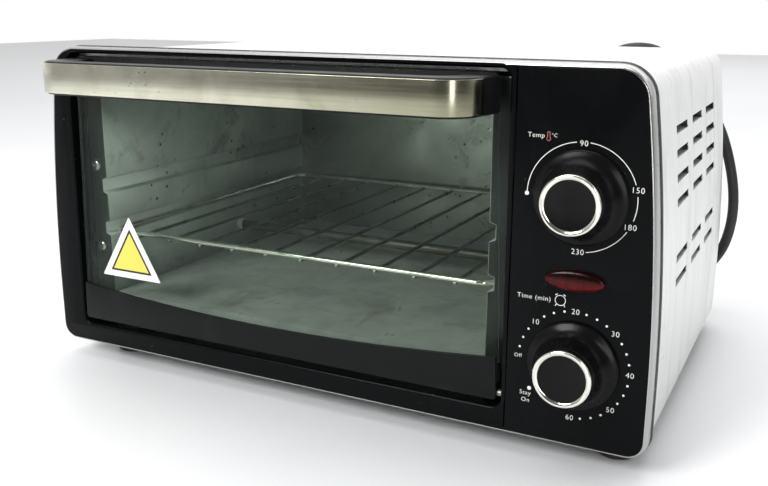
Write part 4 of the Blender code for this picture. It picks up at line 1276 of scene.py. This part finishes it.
def studio():
    """Pale floor, soft lights and the camera."""
    floor_shape = bmesh.new()
    bmesh.ops.create_grid(floor_shape, x_segments=1, y_segments=1, size=4.0)
    floor = mesh_of("studio_floor", floor_shape)
    bpy.context.scene.collection.objects.link(floor)
    floor.location = (0.0, 0.0, -0.0002)
    paint = Paint("pale_floor", (0.80, 0.81, 0.82), 0.42)
    paint.tint(paint.remap(paint.noise(3.0), 0.3, 0.7), (0.77, 0.78, 0.79))
    floor.data.materials.append(paint.made)

    world = bpy.data.worlds.new("studio")
    world.use_nodes = True
    tree = world.node_tree
    place = node_in(tree, "ShaderNodeTexCoord").outputs["Generated"]
    aims = {0: place, 1: (-0.5, 0.86, 0.0)}
    towards = node_in(tree, "ShaderNodeVectorMath", aims, operation="DOT_PRODUCT").outputs["Value"]
    sockets = {"Value": towards, "From Min": -0.7, "From Max": 0.5, "To Min": 0.14, "To Max": 1.0}
    fade = node_in(tree, "ShaderNodeMapRange", sockets).outputs["Result"]
    background = tree.nodes["Background"]
    background.inputs["Color"].default_value = (1.0, 1.0, 1.0, 1.0)
    tree.links.new(fade, background.inputs["Strength"])
    bpy.context.scene.world = world
    bpy.context.scene.view_settings.view_transform = "Standard"

    for name, place, target, width, height, power in LIGHTS:
        data = bpy.data.lights.new(name, "AREA")
        data.shape = "RECTANGLE"
        data.size = width
        data.size_y = height
        data.energy = power
        item = bpy.data.objects.new(name, data)
        item.location = place
        aim = Vector(target) - Vector(place)
        item.rotation_euler = aim.to_track_quat("-Z", "Y").to_euler()
        bpy.context.scene.collection.objects.link(item)

    data = bpy.data.cameras.new("photo_camera")
    data.lens = CAMERA_LENS
    data.sensor_width = 36.0
    camera = bpy.data.objects.new("photo_camera", data)
    turn = Matrix.Rotation(CAMERA_YAW, 4, "Z") @ Matrix.Rotation(math.pi / 2 + CAMERA_PITCH, 4, "X")
    turn = turn @ Matrix.Rotation(CAMERA_ROLL, 4, "Z")
    camera.matrix_world = Matrix.Translation(DATUM + Vector(CAMERA_PLACE)) @ turn
    bpy.context.scene.collection.objects.link(camera)
    bpy.context.scene.camera = camera


mains_lead()
front()
markings()
lens()
knob("temperature", "temperature_control")
knob("timer", "timer_control")
shell()
rear()
screws()
feet()
chamber()
rack()
heaters()
plain_nodes()
door()
studio()
